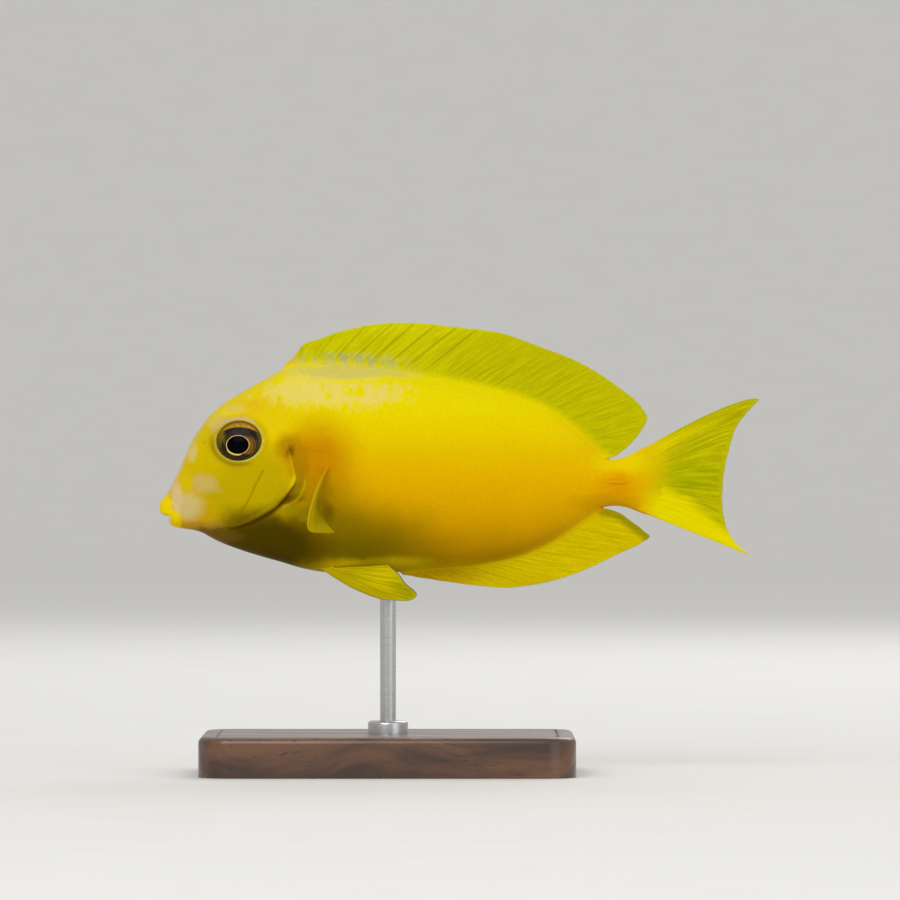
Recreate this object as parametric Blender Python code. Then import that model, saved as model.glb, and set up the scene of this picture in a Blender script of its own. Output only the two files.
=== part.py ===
"""A juvenile orangeshoulder tang at life size, swimming level on a plain display stand.

The fish faces -X with its left flank towards -Y, and the stand rests on the plane Z = 0.
Sizes are in millimetres. Along the fish they count from the tip of the snout, and heights count
from the body axis, a level line through the middle of the tail stalk.
"""

import bpy
import bmesh
import numpy as np
from mathutils import Matrix, Vector

MM = 0.001

# Driving sizes, in millimetres
TOTAL_LENGTH = 90.0  # tip of the snout to the tip of the upper tail lobe
AXIS_HEIGHT = 44.0  # floor to the body axis
GAP = 0.3  # between pieces that touch
STALK_START = 65.0  # where the trunk narrows to the tail stalk
STALK_END = 72.5  # root of the tail fin

# The trunk without its fins: distance from the snout, height of the back, height of the belly, half width
BODY_STATIONS = (
    (4.8, 5.7, -7.4, 2.6),
    (6.2, 8.0, -7.85, 3.15),
    (9.1, 11.0, -9.3, 3.95),
    (12.1, 13.0, -10.45, 4.5),
    (15.1, 14.7, -11.4, 5.0),
    (18.3, 16.3, -12.3, 5.35),
    (21.5, 16.9, -13.25, 5.6),
    (26.0, 16.9, -13.95, 5.8),
    (32.0, 16.4, -13.95, 5.8),
    (40.0, 15.2, -13.1, 5.5),
    (48.0, 13.7, -12.3, 4.9),
    (54.0, 12.0, -11.0, 4.1),
    (58.6, 9.9, -8.9, 3.35),
    (63.1, 6.5, -6.0, 2.5),
    (65.5, 4.2, -4.5, 2.05),
    (67.6, 3.1, -3.9, 1.75),
    (69.6, 3.4, -4.0, 1.5),
    (72.5, 4.8, -5.0, 0.95),
)
WIDEST_SHARE = 0.5  # how far up the flank the widest line runs
BACK_POWER = 1.8  # below 2 the back comes to a soft ridge
BELLY_POWER = 2.1
MUZZLE_POWERS = (2.0, 2.0)
RING_POINTS = 32
HEAD_RINGS = 14
STALK_RINGS = 8
TORSO_RINGS = ((6.2, 20.0, 10), (22.6, 56.0, 13), (58.0, 67.0, 7))  # first, last and how many

# The muzzle is built of rings that lean, from inside the mouth out over the lips and back to the cheeks.
# Each ring: its top (distance, height), its side (distance, height, out) and its bottom (distance, height)
MUZZLE_RINGS = (
    ((1.85, -5.36), (2.05, -5.48, 0.60), (1.95, -5.62)),  # back of the mouth
    ((1.20, -5.32), (1.96, -5.50, 1.02), (1.66, -5.74)),
    ((0.62, -5.22), (1.88, -5.52, 1.36), (1.49, -5.96)),
    ((0.16, -4.90), (1.86, -5.52, 1.62), (1.43, -6.22)),
    ((0.00, -4.35), (2.02, -5.48, 1.82), (1.58, -6.58)),  # crest of the lips
    ((0.12, -3.52), (2.45, -5.38, 1.96), (1.95, -6.88)),
    ((0.54, -2.80), (2.95, -5.24, 2.02), (2.52, -7.10)),
    ((1.17, -2.10), (3.42, -5.06, 1.96), (3.20, -7.22)),  # outer edge of the lips
    ((1.66, -1.22), (3.88, -4.70, 2.16), (3.90, -7.31)),
    ((2.46, 0.42), (4.50, -4.00, 2.55), (4.70, -7.42)),
    ((3.62, 2.95), (5.30, -2.60, 2.92), (5.60, -7.62)),
    ((5.10, 6.25), (6.30, -0.90, 3.24), (6.60, -7.95)),
)
MUZZLE_END = 7.4  # from here backwards the rings stand upright
HEAD_END = 23.0

# The edge of the gill cover, from above the nape down and forward under the throat
GILL_EDGE = (
    (18.5, 20.0),
    (18.8, 16.3),
    (19.2, 10.5),
    (19.8, 5.4),
    (20.6, 2.2),
    (20.7, -0.1),
    (19.9, -2.2),
    (17.6, -4.4),
    (14.6, -5.8),
    (11.2, -6.7),
    (8.6, -7.4),
    (7.4, -9.2),
    (6.8, -13.0),
)
GILL_FLARE = 0.3  # how far the gill cover stands out over the shoulder
FLARE_START, FLARE_END = 13.0, 20.6
PREOPERCLE = ((15.5, 1.8), (14.3, -0.8), (13.2, -3.0), (12.1, -4.9))  # the crease across the cheek
CREASE_WIDTH = 0.3
CREASE_DEPTH = 0.35

# Eyes and nostrils
EYE_PLACE = (12.05, 5.9)
EYE_RADII = (3.65, 3.2, 1.45)  # along, up and out
EYE_SINK = 0.55  # centre of the eyeball under the surface of the head
EYE_TURN = (-0.17, 0.13)  # how far the eye looks forward and up, as slopes
RIM_RADIUS = 0.5
RIM_LIFT = 0.45  # centre of the rim over the centre of the eyeball
NOSTRILS = (((7.0, 5.6), 0.4), ((7.75, 6.3), 0.3))  # distance and height, then radius

# Fins: each outline runs from the front of the root to its back, as distance and height
DORSAL_ROOT = (18.1, 67.3)
DORSAL_EDGE = (
    (18.9, 17.3),
    (20.4, 18.85),
    (21.6, 20.4),
    (24.2, 21.35),
    (26.6, 22.2),
    (31.2, 23.3),
    (36.0, 23.7),
    (44.7, 23.05),
    (51.1, 22.15),
    (57.1, 20.05),
    (63.1, 17.65),
    (69.1, 13.85),
    (72.1, 11.3),
    (73.25, 9.2),
    (72.3, 7.4),
    (70.5, 5.2),
    (68.7, 3.75),
)
DORSAL_SPINES, DORSAL_RAYS = 9, 24
DORSAL_SPREAD = 1.72  # how much wider apart than soft rays the spines stand
# Where a ray's tip lies along the edge for its place along the root, both from 0 to 1
DORSAL_RAKE = (
    (0.0, 0.0),
    (0.042, 0.061),
    (0.09, 0.138),
    (0.14, 0.208),
    (0.3, 0.362),
    (0.469, 0.501),
    (0.814, 0.779),
    (1.0, 1.0),
)
ANAL_ROOT = (35.9, 66.4)
ANAL_EDGE = (
    (36.6, -14.25),
    (40.0, -14.8),
    (44.0, -15.4),
    (48.0, -15.9),
    (52.5, -16.15),
    (57.0, -15.6),
    (63.0, -13.85),
    (69.0, -11.05),
    (72.6, -9.3),
    (73.6, -8.5),
    (72.7, -7.6),
    (70.6, -6.0),
    (69.1, -4.95),
    (67.9, -4.5),
)
ANAL_SPINES, ANAL_RAYS = 3, 23
ANAL_SPREAD = 1.05
ANAL_RAKE = ((0.0, 0.0), (0.19, 0.295), (0.427, 0.497), (0.645, 0.679), (0.921, 0.9), (1.0, 1.0))
TAIL_ROOT_HEIGHTS = (4.8, -5.0)
TAIL_EDGE = (
    (90.0, 11.95),
    (88.4, 10.3),
    (86.6, 7.9),
    (85.5, 4.6),
    (84.8, 1.6),
    (84.5, -1.6),
    (84.6, -4.9),
    (85.4, -7.8),
    (87.0, -10.0),
    (88.9, -11.45),
)
TAIL_RAYS = 16
TAIL_TIP_CROWDING = 0.08
TAIL_BOW = 3.0  # strength of the outward bow of the upper edge

PECTORAL_ROOT = ((25.4, 2.3), (23.9, -2.2))  # leading and trailing end
PECTORAL_EDGE = (
    (22.5, -7.6, 10.4),
    (23.4, -8.2, 8.6),
    (24.6, -8.3, 6.6),
    (25.8, -8.3, 4.6),
    (26.5, -8.0, 3.0),
)  # distance, height, and how far out from the shoulder
PECTORAL_RAYS = 16
PECTORAL_SWEEP = (-0.45, -1.0)  # how far the leading and the trailing ray bow backwards
PECTORAL_BOW = 0.5  # how far they bow outwards
PELVIC_ROOT = ((24.6, -13.5, 1.5), (26.6, -13.1, 2.3))  # distance, height, out from the middle
PELVIC_EDGE = (
    (33.5, -17.8, 4.9),
    (35.9, -18.0, 4.9),
    (37.9, -17.9, 4.8),
    (38.6, -17.4, 4.7),
    (37.0, -15.6, 4.3),
    (35.7, -13.9, 4.0),
    (34.3, -12.7, 3.9),
)
PELVIC_RAYS = 6
PELVIC_BOW = 0.35
PELVIC_DROOP = 0.5  # how far the front ray bows downwards

# Thickness of the fins, as half thicknesses
MEMBRANE_HALF = 0.25
EDGE_HALF = 0.17
SPINE_HALF = 0.5
RAY_HALF = 0.42
PECTORAL_RAY_HALF = 0.38
TAIL_RAY_HALF = 0.5
RAY_SHARE = 0.24  # half a ray's breadth as a share of the spacing
RAY_TAPER = 0.75  # share of its height that a ray loses on its way to the tip
SERRATION = 0.22  # how far a ray's tip stands past the membrane
SPINE_CROWDING = 1.1  # above 1 the spines crowd towards the front
ROWS = np.array((0.0, 0.3, 0.6, 0.86, 1.0))  # places of the grid's rows from root to edge
EDGE_START = ROWS[-2]  # from here outwards the membrane thins

# Scalpels, the blades folded flat on the tail stalk
SCALPEL_PLACE = (68.2, -0.35)
SCALPEL_RADII = (1.9, 0.42, 0.42)  # along, out and up
SCALPEL_BLUNT = 0.97  # where the blade ends, as a share of its half length
SCALPEL_FULLNESS = 0.6  # below 1 the blade swells early behind its point

# Blocks that part the trunk, past its skin on all sides
BLOCK_HALF_DEPTH = 9.0
BLOCK_FRONT, BLOCK_TOP, BLOCK_BOTTOM = -4.0, 22.0, -20.0

# Display stand
ROD_PLACE = 34.3
ROD_RADIUS = 1.2
BASE_SIZE = (56.0, 40.0, 6.0)
BASE_CORNER = 5.0
BASE_BEVEL = 0.9
ROD_COLLAR = (3.0, 1.6)  # radius and height of the collar round the rod's foot
COLLAR_BEVEL = 0.5

FISH_YELLOW = (0.80, 0.52, 0.02)
FIN_YELLOW = (0.55, 0.50, 0.02)
IRIS_BROWN = (0.05, 0.035, 0.01)
BLADE_ORANGE = (0.75, 0.38, 0.05)
WOOD_BROWN = (0.05, 0.035, 0.025)
STEEL_GREY = (0.55, 0.55, 0.56)


def clear_scene():
    for thing in list(bpy.data.objects):
        bpy.data.objects.remove(thing, do_unlink=True)


def smooth(knots, x, column=1):
    """Value at x of a smooth curve through the knots, where column picks which value of each knot."""
    xs = np.array([k[0] for k in knots], float)
    ys = np.array([k[column] for k in knots], float)
    steps = np.diff(xs)
    rises = np.diff(ys) / steps
    slopes = np.empty(len(xs))
    slopes[1:-1] = (rises[:-1] * steps[1:] + rises[1:] * steps[:-1]) / (steps[1:] + steps[:-1])
    slopes[0], slopes[-1] = rises[0], rises[-1]
    x = np.clip(x, xs[0], xs[-1])
    i = np.clip(np.searchsorted(xs, x, side="right") - 1, 0, len(steps) - 1)
    t = (x - xs[i]) / steps[i]
    bend_in = t * (1 - t) ** 2 * steps[i] * slopes[i]
    bend_out = t * t * (t - 1) * steps[i] * slopes[i + 1]
    return (1 + 2 * t) * (1 - t) ** 2 * ys[i] + t * t * (3 - 2 * t) * ys[i + 1] + bend_in + bend_out


def along_curve(points, share):
    """Point at a share of the length of a smooth curve through the points."""
    points = np.array(points, float)
    lengths = np.concatenate([[0], np.cumsum(np.linalg.norm(np.diff(points, axis=0), axis=1))])
    knots = np.column_stack([lengths / lengths[-1], points])
    return np.array([smooth(knots, share, c + 1) for c in range(points.shape[1])])


def back(s):
    return smooth(BODY_STATIONS, s, 1)


def belly(s):
    return smooth(BODY_STATIONS, s, 2)


def half_width(s, flare=0.0):
    t = np.clip((s - FLARE_START) / (FLARE_END - FLARE_START), 0, 1)
    return smooth(BODY_STATIONS, s, 3) + flare * t * t * (3 - 2 * t)


def widest(s):
    return belly(s) + WIDEST_SHARE * (back(s) - belly(s))


def flank(s, height, flare=0.0):
    """How far out the skin of the trunk lies at a distance and a height."""
    middle = widest(s)
    upper = height > middle
    reach = (back(s) - middle) if upper else (middle - belly(s))
    power = BACK_POWER if upper else BELLY_POWER
    t = min(abs(height - middle) / reach, 1.0)
    return half_width(s, flare) * (1 - t**power) ** (1 / power)


def to_frame(s, out, height):
    """A point of the fish, in metres, from its distance, sideways place and height in millimetres."""
    return Vector(((s - TOTAL_LENGTH / 2) * MM, out * MM, (AXIS_HEIGHT + height) * MM))


def material(name, colour, roughness=0.4, metallic=0.0):
    made = bpy.data.materials.get(name) or bpy.data.materials.new(name)
    made.use_nodes = True
    shader = made.node_tree.nodes["Principled BSDF"]
    shader.inputs["Base Color"].default_value = (*colour, 1.0)
    shader.inputs["Roughness"].default_value = roughness
    shader.inputs["Metallic"].default_value = metallic
    return made


def add_object(name, bm, finish=None, smooth_angle=40.0, turn_faces=True):
    if turn_faces:
        bmesh.ops.recalc_face_normals(bm, faces=bm.faces[:])
    mesh = bpy.data.meshes.new(name)
    bm.to_mesh(mesh)
    bm.free()
    made = bpy.data.objects.new(name, mesh)
    bpy.context.scene.collection.objects.link(made)
    if finish:
        mesh.materials.append(finish)
    mesh.shade_smooth()
    mesh.set_sharp_from_angle(angle=np.radians(smooth_angle))
    return made


def loft(rings):
    """A closed mesh through rings of equally many points, with a face over each end."""
    bm = bmesh.new()
    loops = [[bm.verts.new(p) for p in ring] for ring in rings]
    count = len(loops[0])
    for first, second in zip(loops, loops[1:]):
        for i in range(count):
            j = (i + 1) % count
            bm.faces.new((first[i], first[j], second[j], second[i]))
    bm.faces.new(loops[0])
    bm.faces.new(loops[-1])
    return bm


def joined(target, pieces, operation, finish=None):
    """One Boolean of a collection of closed pieces, applied, with the pieces then removed."""
    group = bpy.data.collections.new(target.name + "_pieces")
    for piece in pieces:
        group.objects.link(piece)
    step = target.modifiers.new("join", "BOOLEAN")
    step.operation = operation
    step.solver = "EXACT"
    step.operand_type = "COLLECTION"
    step.collection = group
    mesh = bpy.data.meshes.new_from_object(target.evaluated_get(bpy.context.evaluated_depsgraph_get()))
    target.modifiers.clear()
    target.data = mesh
    for piece in pieces:
        bpy.data.objects.remove(piece, do_unlink=True)
    bpy.data.collections.remove(group)
    keep_largest(target)
    if finish:
        target.data.materials.clear()
        target.data.materials.append(finish)
    return target


def keep_largest(thing):
    """Drops all but the largest closed surface, and the slivers that a Boolean leaves."""
    bm = bmesh.new()
    bm.from_mesh(thing.data)
    bmesh.ops.triangulate(bm, faces=bm.faces[:])
    bmesh.ops.dissolve_degenerate(bm, edges=bm.edges[:], dist=2e-6)
    unseen = set(bm.verts)
    islands = []
    while unseen:
        front = [unseen.pop()]
        island = list(front)
        while front:
            for edge in front.pop().link_edges:
                for vert in edge.verts:
                    if vert in unseen:
                        unseen.remove(vert)
                        front.append(vert)
                        island.append(vert)
        islands.append(island)
    islands.sort(key=len)
    for island in islands[:-1]:
        bmesh.ops.delete(bm, geom=island, context="VERTS")
    bmesh.ops.triangulate(bm, faces=bm.faces[:])
    bm.to_mesh(thing.data)
    bm.free()
    thing.data.shade_smooth()
    thing.data.set_sharp_from_angle(angle=np.radians(40.0))


def ball(name, centre, radii, turn=None, segments=24, rings=12):
    """An ellipsoid, with its size in the mesh."""
    bm = bmesh.new()
    bmesh.ops.create_uvsphere(bm, u_segments=segments, v_segments=rings, radius=MM)
    place = Matrix.Translation(centre) @ (turn or Matrix.Identity(4)) @ Matrix.Diagonal((*radii, 1.0))
    bmesh.ops.transform(bm, matrix=place, verts=bm.verts[:])
    return add_object(name, bm)


def oval(top, side, bottom, powers=(BACK_POWER, BELLY_POWER)):
    """A ring of the trunk, bent at its two side points, through its top, sides and bottom."""
    ring = []
    for a in (np.arange(RING_POINTS) + 0.5) * 2 * np.pi / RING_POINTS:
        end, power = (top, powers[0]) if np.sin(a) > 0 else (bottom, powers[1])
        rise = abs(np.sin(a)) ** (2 / power)
        out = side[2] * np.sign(np.cos(a)) * abs(np.cos(a)) ** (2 / power)
        ring.append(to_frame(side[0] + (end[0] - side[0]) * rise, out, side[1] + (end[1] - side[1]) * rise))
    return ring


def upright_oval(s, flare=0.0):
    return oval((s, back(s)), (s, widest(s), half_width(s, flare)), (s, belly(s)))


def trunk(name, stations, flare=0.0, muzzle=()):
    """The trunk as a loft of soft-ridged ovals, behind the leaning ovals of a muzzle if it has one."""
    rings = [oval(*ring, powers=MUZZLE_POWERS) for ring in muzzle]
    return add_object(name, loft(rings + [upright_oval(s, flare) for s in stations]))


def prism(name, outline):
    """A block through the fish, with the outline given as distances and heights."""
    bm = bmesh.new()
    face = bm.faces.new([bm.verts.new(to_frame(s, -BLOCK_HALF_DEPTH, h)) for s, h in outline])
    moved = bmesh.ops.extrude_face_region(bm, geom=[face])["geom"]
    verts = [v for v in moved if isinstance(v, bmesh.types.BMVert)]
    bmesh.ops.translate(bm, verts=verts, vec=(0, 2 * BLOCK_HALF_DEPTH * MM, 0))
    return add_object(name, bm)


def gill_line(offset, points=26):
    """The edge of the gill cover as a smooth line, moved backwards by an offset."""
    line = np.array([along_curve(GILL_EDGE, t) for t in np.linspace(0, 1, points)])
    run = np.gradient(line, axis=0)
    run /= np.linalg.norm(run, axis=1)[:, None]
    return line + offset * np.column_stack([-run[:, 1], run[:, 0]])


def strip(name, points, width, inner, outer, side):
    """A thin bar that follows the flank along points, from inner to outer past the skin."""
    points = np.array(points, float)
    run = np.gradient(points, axis=0)
    run /= np.linalg.norm(run, axis=1)[:, None]
    across = np.column_stack([-run[:, 1], run[:, 0]]) * width / 2
    rings = []
    for (s, h), (ds, dh) in zip(points, across):
        skin = flank(s, h, GILL_FLARE)
        corners = ((1, inner), (1, outer), (-1, outer), (-1, inner))
        rings.append([to_frame(s + k * ds, side * (skin + d), h + k * dh) for k, d in corners])
    return add_object(name, loft(rings))


def eye_frame(side):
    """Place and turn of an eye: its own X runs along, Y up and Z out of the head."""
    s, h = EYE_PLACE
    forward, upward = EYE_TURN
    out = Vector((forward, side, upward)).normalized()
    along = Vector((1, 0, 0))
    along = (along - out * along.dot(out)).normalized()
    up = out.cross(along)
    turn = Matrix((along, up, out)).transposed().to_4x4()
    skin = to_frame(s, side * flank(s, h), h)
    return skin - out * EYE_SINK * MM, turn, out


def make_head(finish):
    head = trunk("head", np.linspace(MUZZLE_END, HEAD_END, HEAD_RINGS), GILL_FLARE, MUZZLE_RINGS)
    front = [(BLOCK_FRONT, BLOCK_BOTTOM), (BLOCK_FRONT, BLOCK_TOP)]
    edge = gill_line(-GAP / 2)
    joined(head, [prism("head_block", front + [tuple(p) for p in edge])], "INTERSECT")
    parts = []
    for side in (-1, 1):
        centre, turn, out = eye_frame(side)
        bpy.ops.mesh.primitive_torus_add(
            major_segments=28, minor_segments=8, major_radius=1.0, minor_radius=RIM_RADIUS / EYE_RADII[0]
        )
        rim = bpy.context.object
        size = Matrix.Diagonal((EYE_RADII[0] * MM, EYE_RADII[1] * MM, EYE_RADII[0] * MM, 1.0))
        rim.data.transform(Matrix.Translation(centre + out * RIM_LIFT * MM) @ turn @ size)
        parts.append(rim)
    joined(head, parts, "UNION")
    cuts = []
    for side in (-1, 1):
        centre, turn, _ = eye_frame(side)
        grown = tuple(r + GAP for r in EYE_RADII)
        cuts.append(ball("socket", centre, grown, turn, 28, 14))
        line = [along_curve(PREOPERCLE, t) for t in np.linspace(0, 1, 6)]
        cuts.append(strip("crease", line, CREASE_WIDTH, -CREASE_DEPTH, 1.0, side))
        for (s, h), radius in NOSTRILS:
            cuts.append(ball("nostril", to_frame(s, side * flank(s, h), h), (radius,) * 3, None, 8, 6))
    return joined(head, cuts, "DIFFERENCE", finish)


def make_torso(finish):
    stations = np.concatenate([np.linspace(*ring_range) for ring_range in TORSO_RINGS])
    torso = trunk("torso", stations)
    edge = [tuple(p) for p in gill_line(GAP / 2)]
    end = STALK_START - GAP / 2
    block = prism("torso_block", edge + [(end, BLOCK_BOTTOM), (end, BLOCK_TOP)])
    return joined(torso, [block], "INTERSECT", finish)


def make_tail_stalk(finish):
    stalk = trunk("tail_stalk", np.linspace(STALK_START + GAP / 2, STALK_END, STALK_RINGS))
    cuts = []
    s, h = SCALPEL_PLACE
    along, out, up = SCALPEL_RADII
    grown = (along + GAP, out + GAP, up + GAP)
    for side in (-1, 1):
        cuts.append(ball("sheath", to_frame(s, side * flank(s, h), h), grown, None, 12, 16))
    return joined(stalk, cuts, "DIFFERENCE", finish)


def make_scalpel(side, label, finish):
    """A blade with its point forward, tapered at both ends and lying in its sheath."""
    s, h = SCALPEL_PLACE
    along, out, up = SCALPEL_RADII
    rings = []
    for t in np.linspace(-SCALPEL_BLUNT, SCALPEL_BLUNT, 9):
        swell = (1 - t * t) ** SCALPEL_FULLNESS
        ring = []
        for a in np.arange(8) * np.pi / 4:
            place = to_frame(s + along * t, side * flank(s + along * t, h), h)
            ring.append(place + Vector((0, side * out * swell * np.cos(a), up * swell * np.sin(a))) * MM)
        rings.append(ring)
    return add_object("scalpel_" + label, loft(rings), finish)


def make_eye(side, label, finish):
    centre, turn, _ = eye_frame(side)
    eye = ball("eye_" + label, centre, EYE_RADII, turn, 24, 12)
    eye.data.materials.append(finish)
    return eye


def sheet(name, columns, halves, finish):
    """A closed thin body about a grid of points: columns run from the root to the edge of a fin."""
    points = np.array(columns, float)
    halves = np.array(halves, float)
    across = np.gradient(points, axis=0)
    outward = np.gradient(points, axis=1)
    normals = np.cross(across, outward)
    normals /= np.linalg.norm(normals, axis=2)[:, :, None]
    bm = bmesh.new()
    faces = []
    for sign in (1, -1):
        place = points + sign * normals * halves[:, :, None]
        faces.append([[bm.verts.new(to_frame(*p)) for p in column] for column in place])
    upper, lower = faces
    wide, tall = points.shape[:2]
    for i in range(wide - 1):
        for j in range(tall - 1):
            for grid in faces:
                a, b, c, d = grid[i][j], grid[i + 1][j], grid[i + 1][j + 1], grid[i][j + 1]
                halved = ((a, b, c), (a, c, d)) if grid is upper else ((c, b, a), (d, c, a))
                for corners in halved:
                    bm.faces.new(corners)
    rim = [(i, 0) for i in range(wide)] + [(wide - 1, j) for j in range(1, tall)]
    rim += [(i, tall - 1) for i in range(wide - 2, -1, -1)] + [(0, j) for j in range(tall - 2, 0, -1)]
    for (i, j), (k, m) in zip(rim, rim[1:] + rim[:1]):
        bm.faces.new((upper[i][j], lower[i][j], lower[k][m], upper[k][m]))
    return add_object(name, bm, finish, turn_faces=False)


def membrane():
    """Half the thickness of the skin between the rays, for each row of the grid."""
    return np.interp(ROWS, (0, EDGE_START, 1), (MEMBRANE_HALF, MEMBRANE_HALF, EDGE_HALF))


def ray_columns(shares, line, thick):
    """Grid columns beside and on each ray, where line gives a column's points from its share of the root."""
    columns, halves = [], []
    spacing = np.diff(shares).mean()
    for k, share in enumerate(shares):
        for side in (-1, 0, 1):
            place = share + side * RAY_SHARE * spacing
            if not 0 <= round(place, 6) <= 1:
                continue
            points, half = line(place), membrane()
            if side == 0:
                run = points[-1] - points[-2]
                inner = 0 < share < 1
                points[-1] += run / np.linalg.norm(run) * SERRATION * inner
                half += (thick[k] - MEMBRANE_HALF) * (1 - RAY_TAPER * ROWS)
            columns.append(points)
            halves.append(half)
    return columns, halves


def surface_offset(curve, s, sign):
    """Height that clears the back or the belly by the gap, measured square to the skin."""
    slope = (curve(s + 0.1) - curve(s - 0.1)) / 0.2
    return curve(s) + sign * GAP * np.sqrt(1 + slope**2)


def median_fin(name, root, edge, rake, curve, sign, spines, rays, spread, finish):
    """A fin on the middle line, which stands on the back or hangs from the belly."""

    def line(share):
        s = root[0] + (root[1] - root[0]) * share
        foot = np.array((s, 0.0, surface_offset(curve, s, sign)))
        tip_s, tip_h = along_curve(edge, smooth(rake, share))
        tip = np.array((tip_s, 0.0, tip_h))
        return foot + (tip - foot) * ROWS[:, None]

    spiny = spines / (spines + rays) * spread
    spine_shares = spiny * (np.arange(spines) / spines) ** SPINE_CROWDING
    shares = np.concatenate([spine_shares, np.linspace(spiny, 1, rays)])
    thick = [SPINE_HALF] * spines + [RAY_HALF] * rays
    columns, halves = ray_columns(shares, line, thick)
    return sheet(name, columns, halves, finish)


def tail_line(share):
    """A ray of the tail fin, from the end of the stalk to the trailing edge."""
    top, bottom = TAIL_ROOT_HEIGHTS
    foot = np.array((STALK_END + GAP, 0.0, top + (bottom - top) * share))
    crowded = share - TAIL_TIP_CROWDING * np.sin(2 * np.pi * share)
    tip_s, tip_h = along_curve(TAIL_EDGE, crowded)
    tip = np.array((tip_s, 0.0, tip_h))
    points = foot + (tip - foot) * ROWS[:, None]
    points[:, 2] += TAIL_BOW * (1 - share) ** 3 * ROWS * np.sqrt(1 - ROWS)
    return points


def make_tail_fin(finish):
    """The tail fin in its two lobes, which part between the middle rays."""
    shares = np.linspace(0, 1, TAIL_RAYS)
    thick = [TAIL_RAY_HALF] * TAIL_RAYS
    columns, halves = ray_columns(shares, tail_line, thick)
    middle = tail_line(0.5)
    half_way = len(columns) // 2
    lift = np.array((0, 0, GAP / 2))
    sheet("caudal_fin_upper", columns[:half_way] + [middle + lift], halves[:half_way] + [membrane()], finish)
    sheet("caudal_fin_lower", [middle - lift] + columns[half_way:], [membrane()] + halves[half_way:], finish)


def make_pectoral_fin(side, label, finish):
    (lead_s, lead_h), (trail_s, trail_h) = PECTORAL_ROOT

    def line(share):
        s, h = lead_s + (trail_s - lead_s) * share, lead_h + (trail_h - lead_h) * share
        foot = np.array((s, side * (flank(s, h) + GAP), h))
        tip_s, tip_h, out = along_curve(PECTORAL_EDGE, share)
        tip = np.array((tip_s, side * (half_width(s) + out), tip_h))
        points = foot + (tip - foot) * ROWS[:, None]
        lead_sweep, trail_sweep = PECTORAL_SWEEP
        sweep = lead_sweep + (trail_sweep - lead_sweep) * share
        points[:, 0] += sweep * 4 * ROWS * (1 - ROWS)
        points[:, 1] += side * PECTORAL_BOW * 4 * ROWS * (1 - ROWS)
        return points

    shares = np.linspace(0, 1, PECTORAL_RAYS)
    thick = [SPINE_HALF] + [PECTORAL_RAY_HALF] * (PECTORAL_RAYS - 1)
    columns, halves = ray_columns(shares, line, thick)
    return sheet("pectoral_fin_" + label, columns, halves, finish)


def make_pelvic_fin(side, label, finish):
    lead, trail = np.array(PELVIC_ROOT)

    def line(share):
        s, h, out = lead + (trail - lead) * share
        foot = np.array((s, side * out, h - GAP))
        tip_s, tip_h, tip_out = along_curve(PELVIC_EDGE, share)
        tip = np.array((tip_s, side * tip_out, tip_h))
        points = foot + (tip - foot) * ROWS[:, None]
        points[:, 1] += side * PELVIC_BOW * 4 * ROWS * (1 - ROWS)
        points[:, 2] -= PELVIC_DROOP * (1 - share) * 4 * ROWS * (1 - ROWS)
        return points

    shares = np.linspace(0, 1, PELVIC_RAYS)
    columns, halves = ray_columns(shares, line, [SPINE_HALF] + [RAY_HALF] * (PELVIC_RAYS - 1))
    return sheet("pelvic_fin_" + label, columns, halves, finish)


def make_stand(base_finish, rod_finish):
    """A flat base with rounded corners, and one rod from it up to the belly."""
    long, wide, thick = BASE_SIZE
    rod_x = (ROD_PLACE - TOTAL_LENGTH / 2) * MM
    bm = bmesh.new()
    bmesh.ops.create_cube(bm, size=1.0)
    bmesh.ops.scale(bm, vec=(long * MM, wide * MM, thick * MM), verts=bm.verts[:])
    bmesh.ops.translate(bm, vec=(rod_x, 0, thick / 2 * MM), verts=bm.verts[:])
    uprights = [e for e in bm.edges if abs(e.verts[0].co.z - e.verts[1].co.z) > thick / 2 * MM]
    bmesh.ops.bevel(bm, geom=uprights, offset=BASE_CORNER * MM, segments=6, profile=0.5, affect="EDGES")
    lid = [f for f in bm.faces if f.normal.z > 0.9]
    bmesh.ops.bevel(bm, geom=lid[0].edges[:], offset=BASE_BEVEL * MM, segments=2, profile=0.5, affect="EDGES")
    add_object("stand_base", bm, base_finish, 25.0)

    foot, top = (thick + GAP) * MM, (AXIS_HEIGHT + belly(ROD_PLACE) - GAP) * MM
    collar, collar_height = ROD_COLLAR
    profile = (
        (collar, foot),
        (collar, foot + (collar_height - COLLAR_BEVEL) * MM),
        (collar - COLLAR_BEVEL, foot + collar_height * MM),
        (ROD_RADIUS, foot + collar_height * MM),
        (ROD_RADIUS, top),
    )
    rings = []
    for radius, z in profile:
        angles = np.arange(24) * np.pi / 12
        rings.append([(rod_x + radius * MM * np.cos(a), radius * MM * np.sin(a), z) for a in angles])
    add_object("stand_rod", loft(rings), rod_finish, 30.0)


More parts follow.
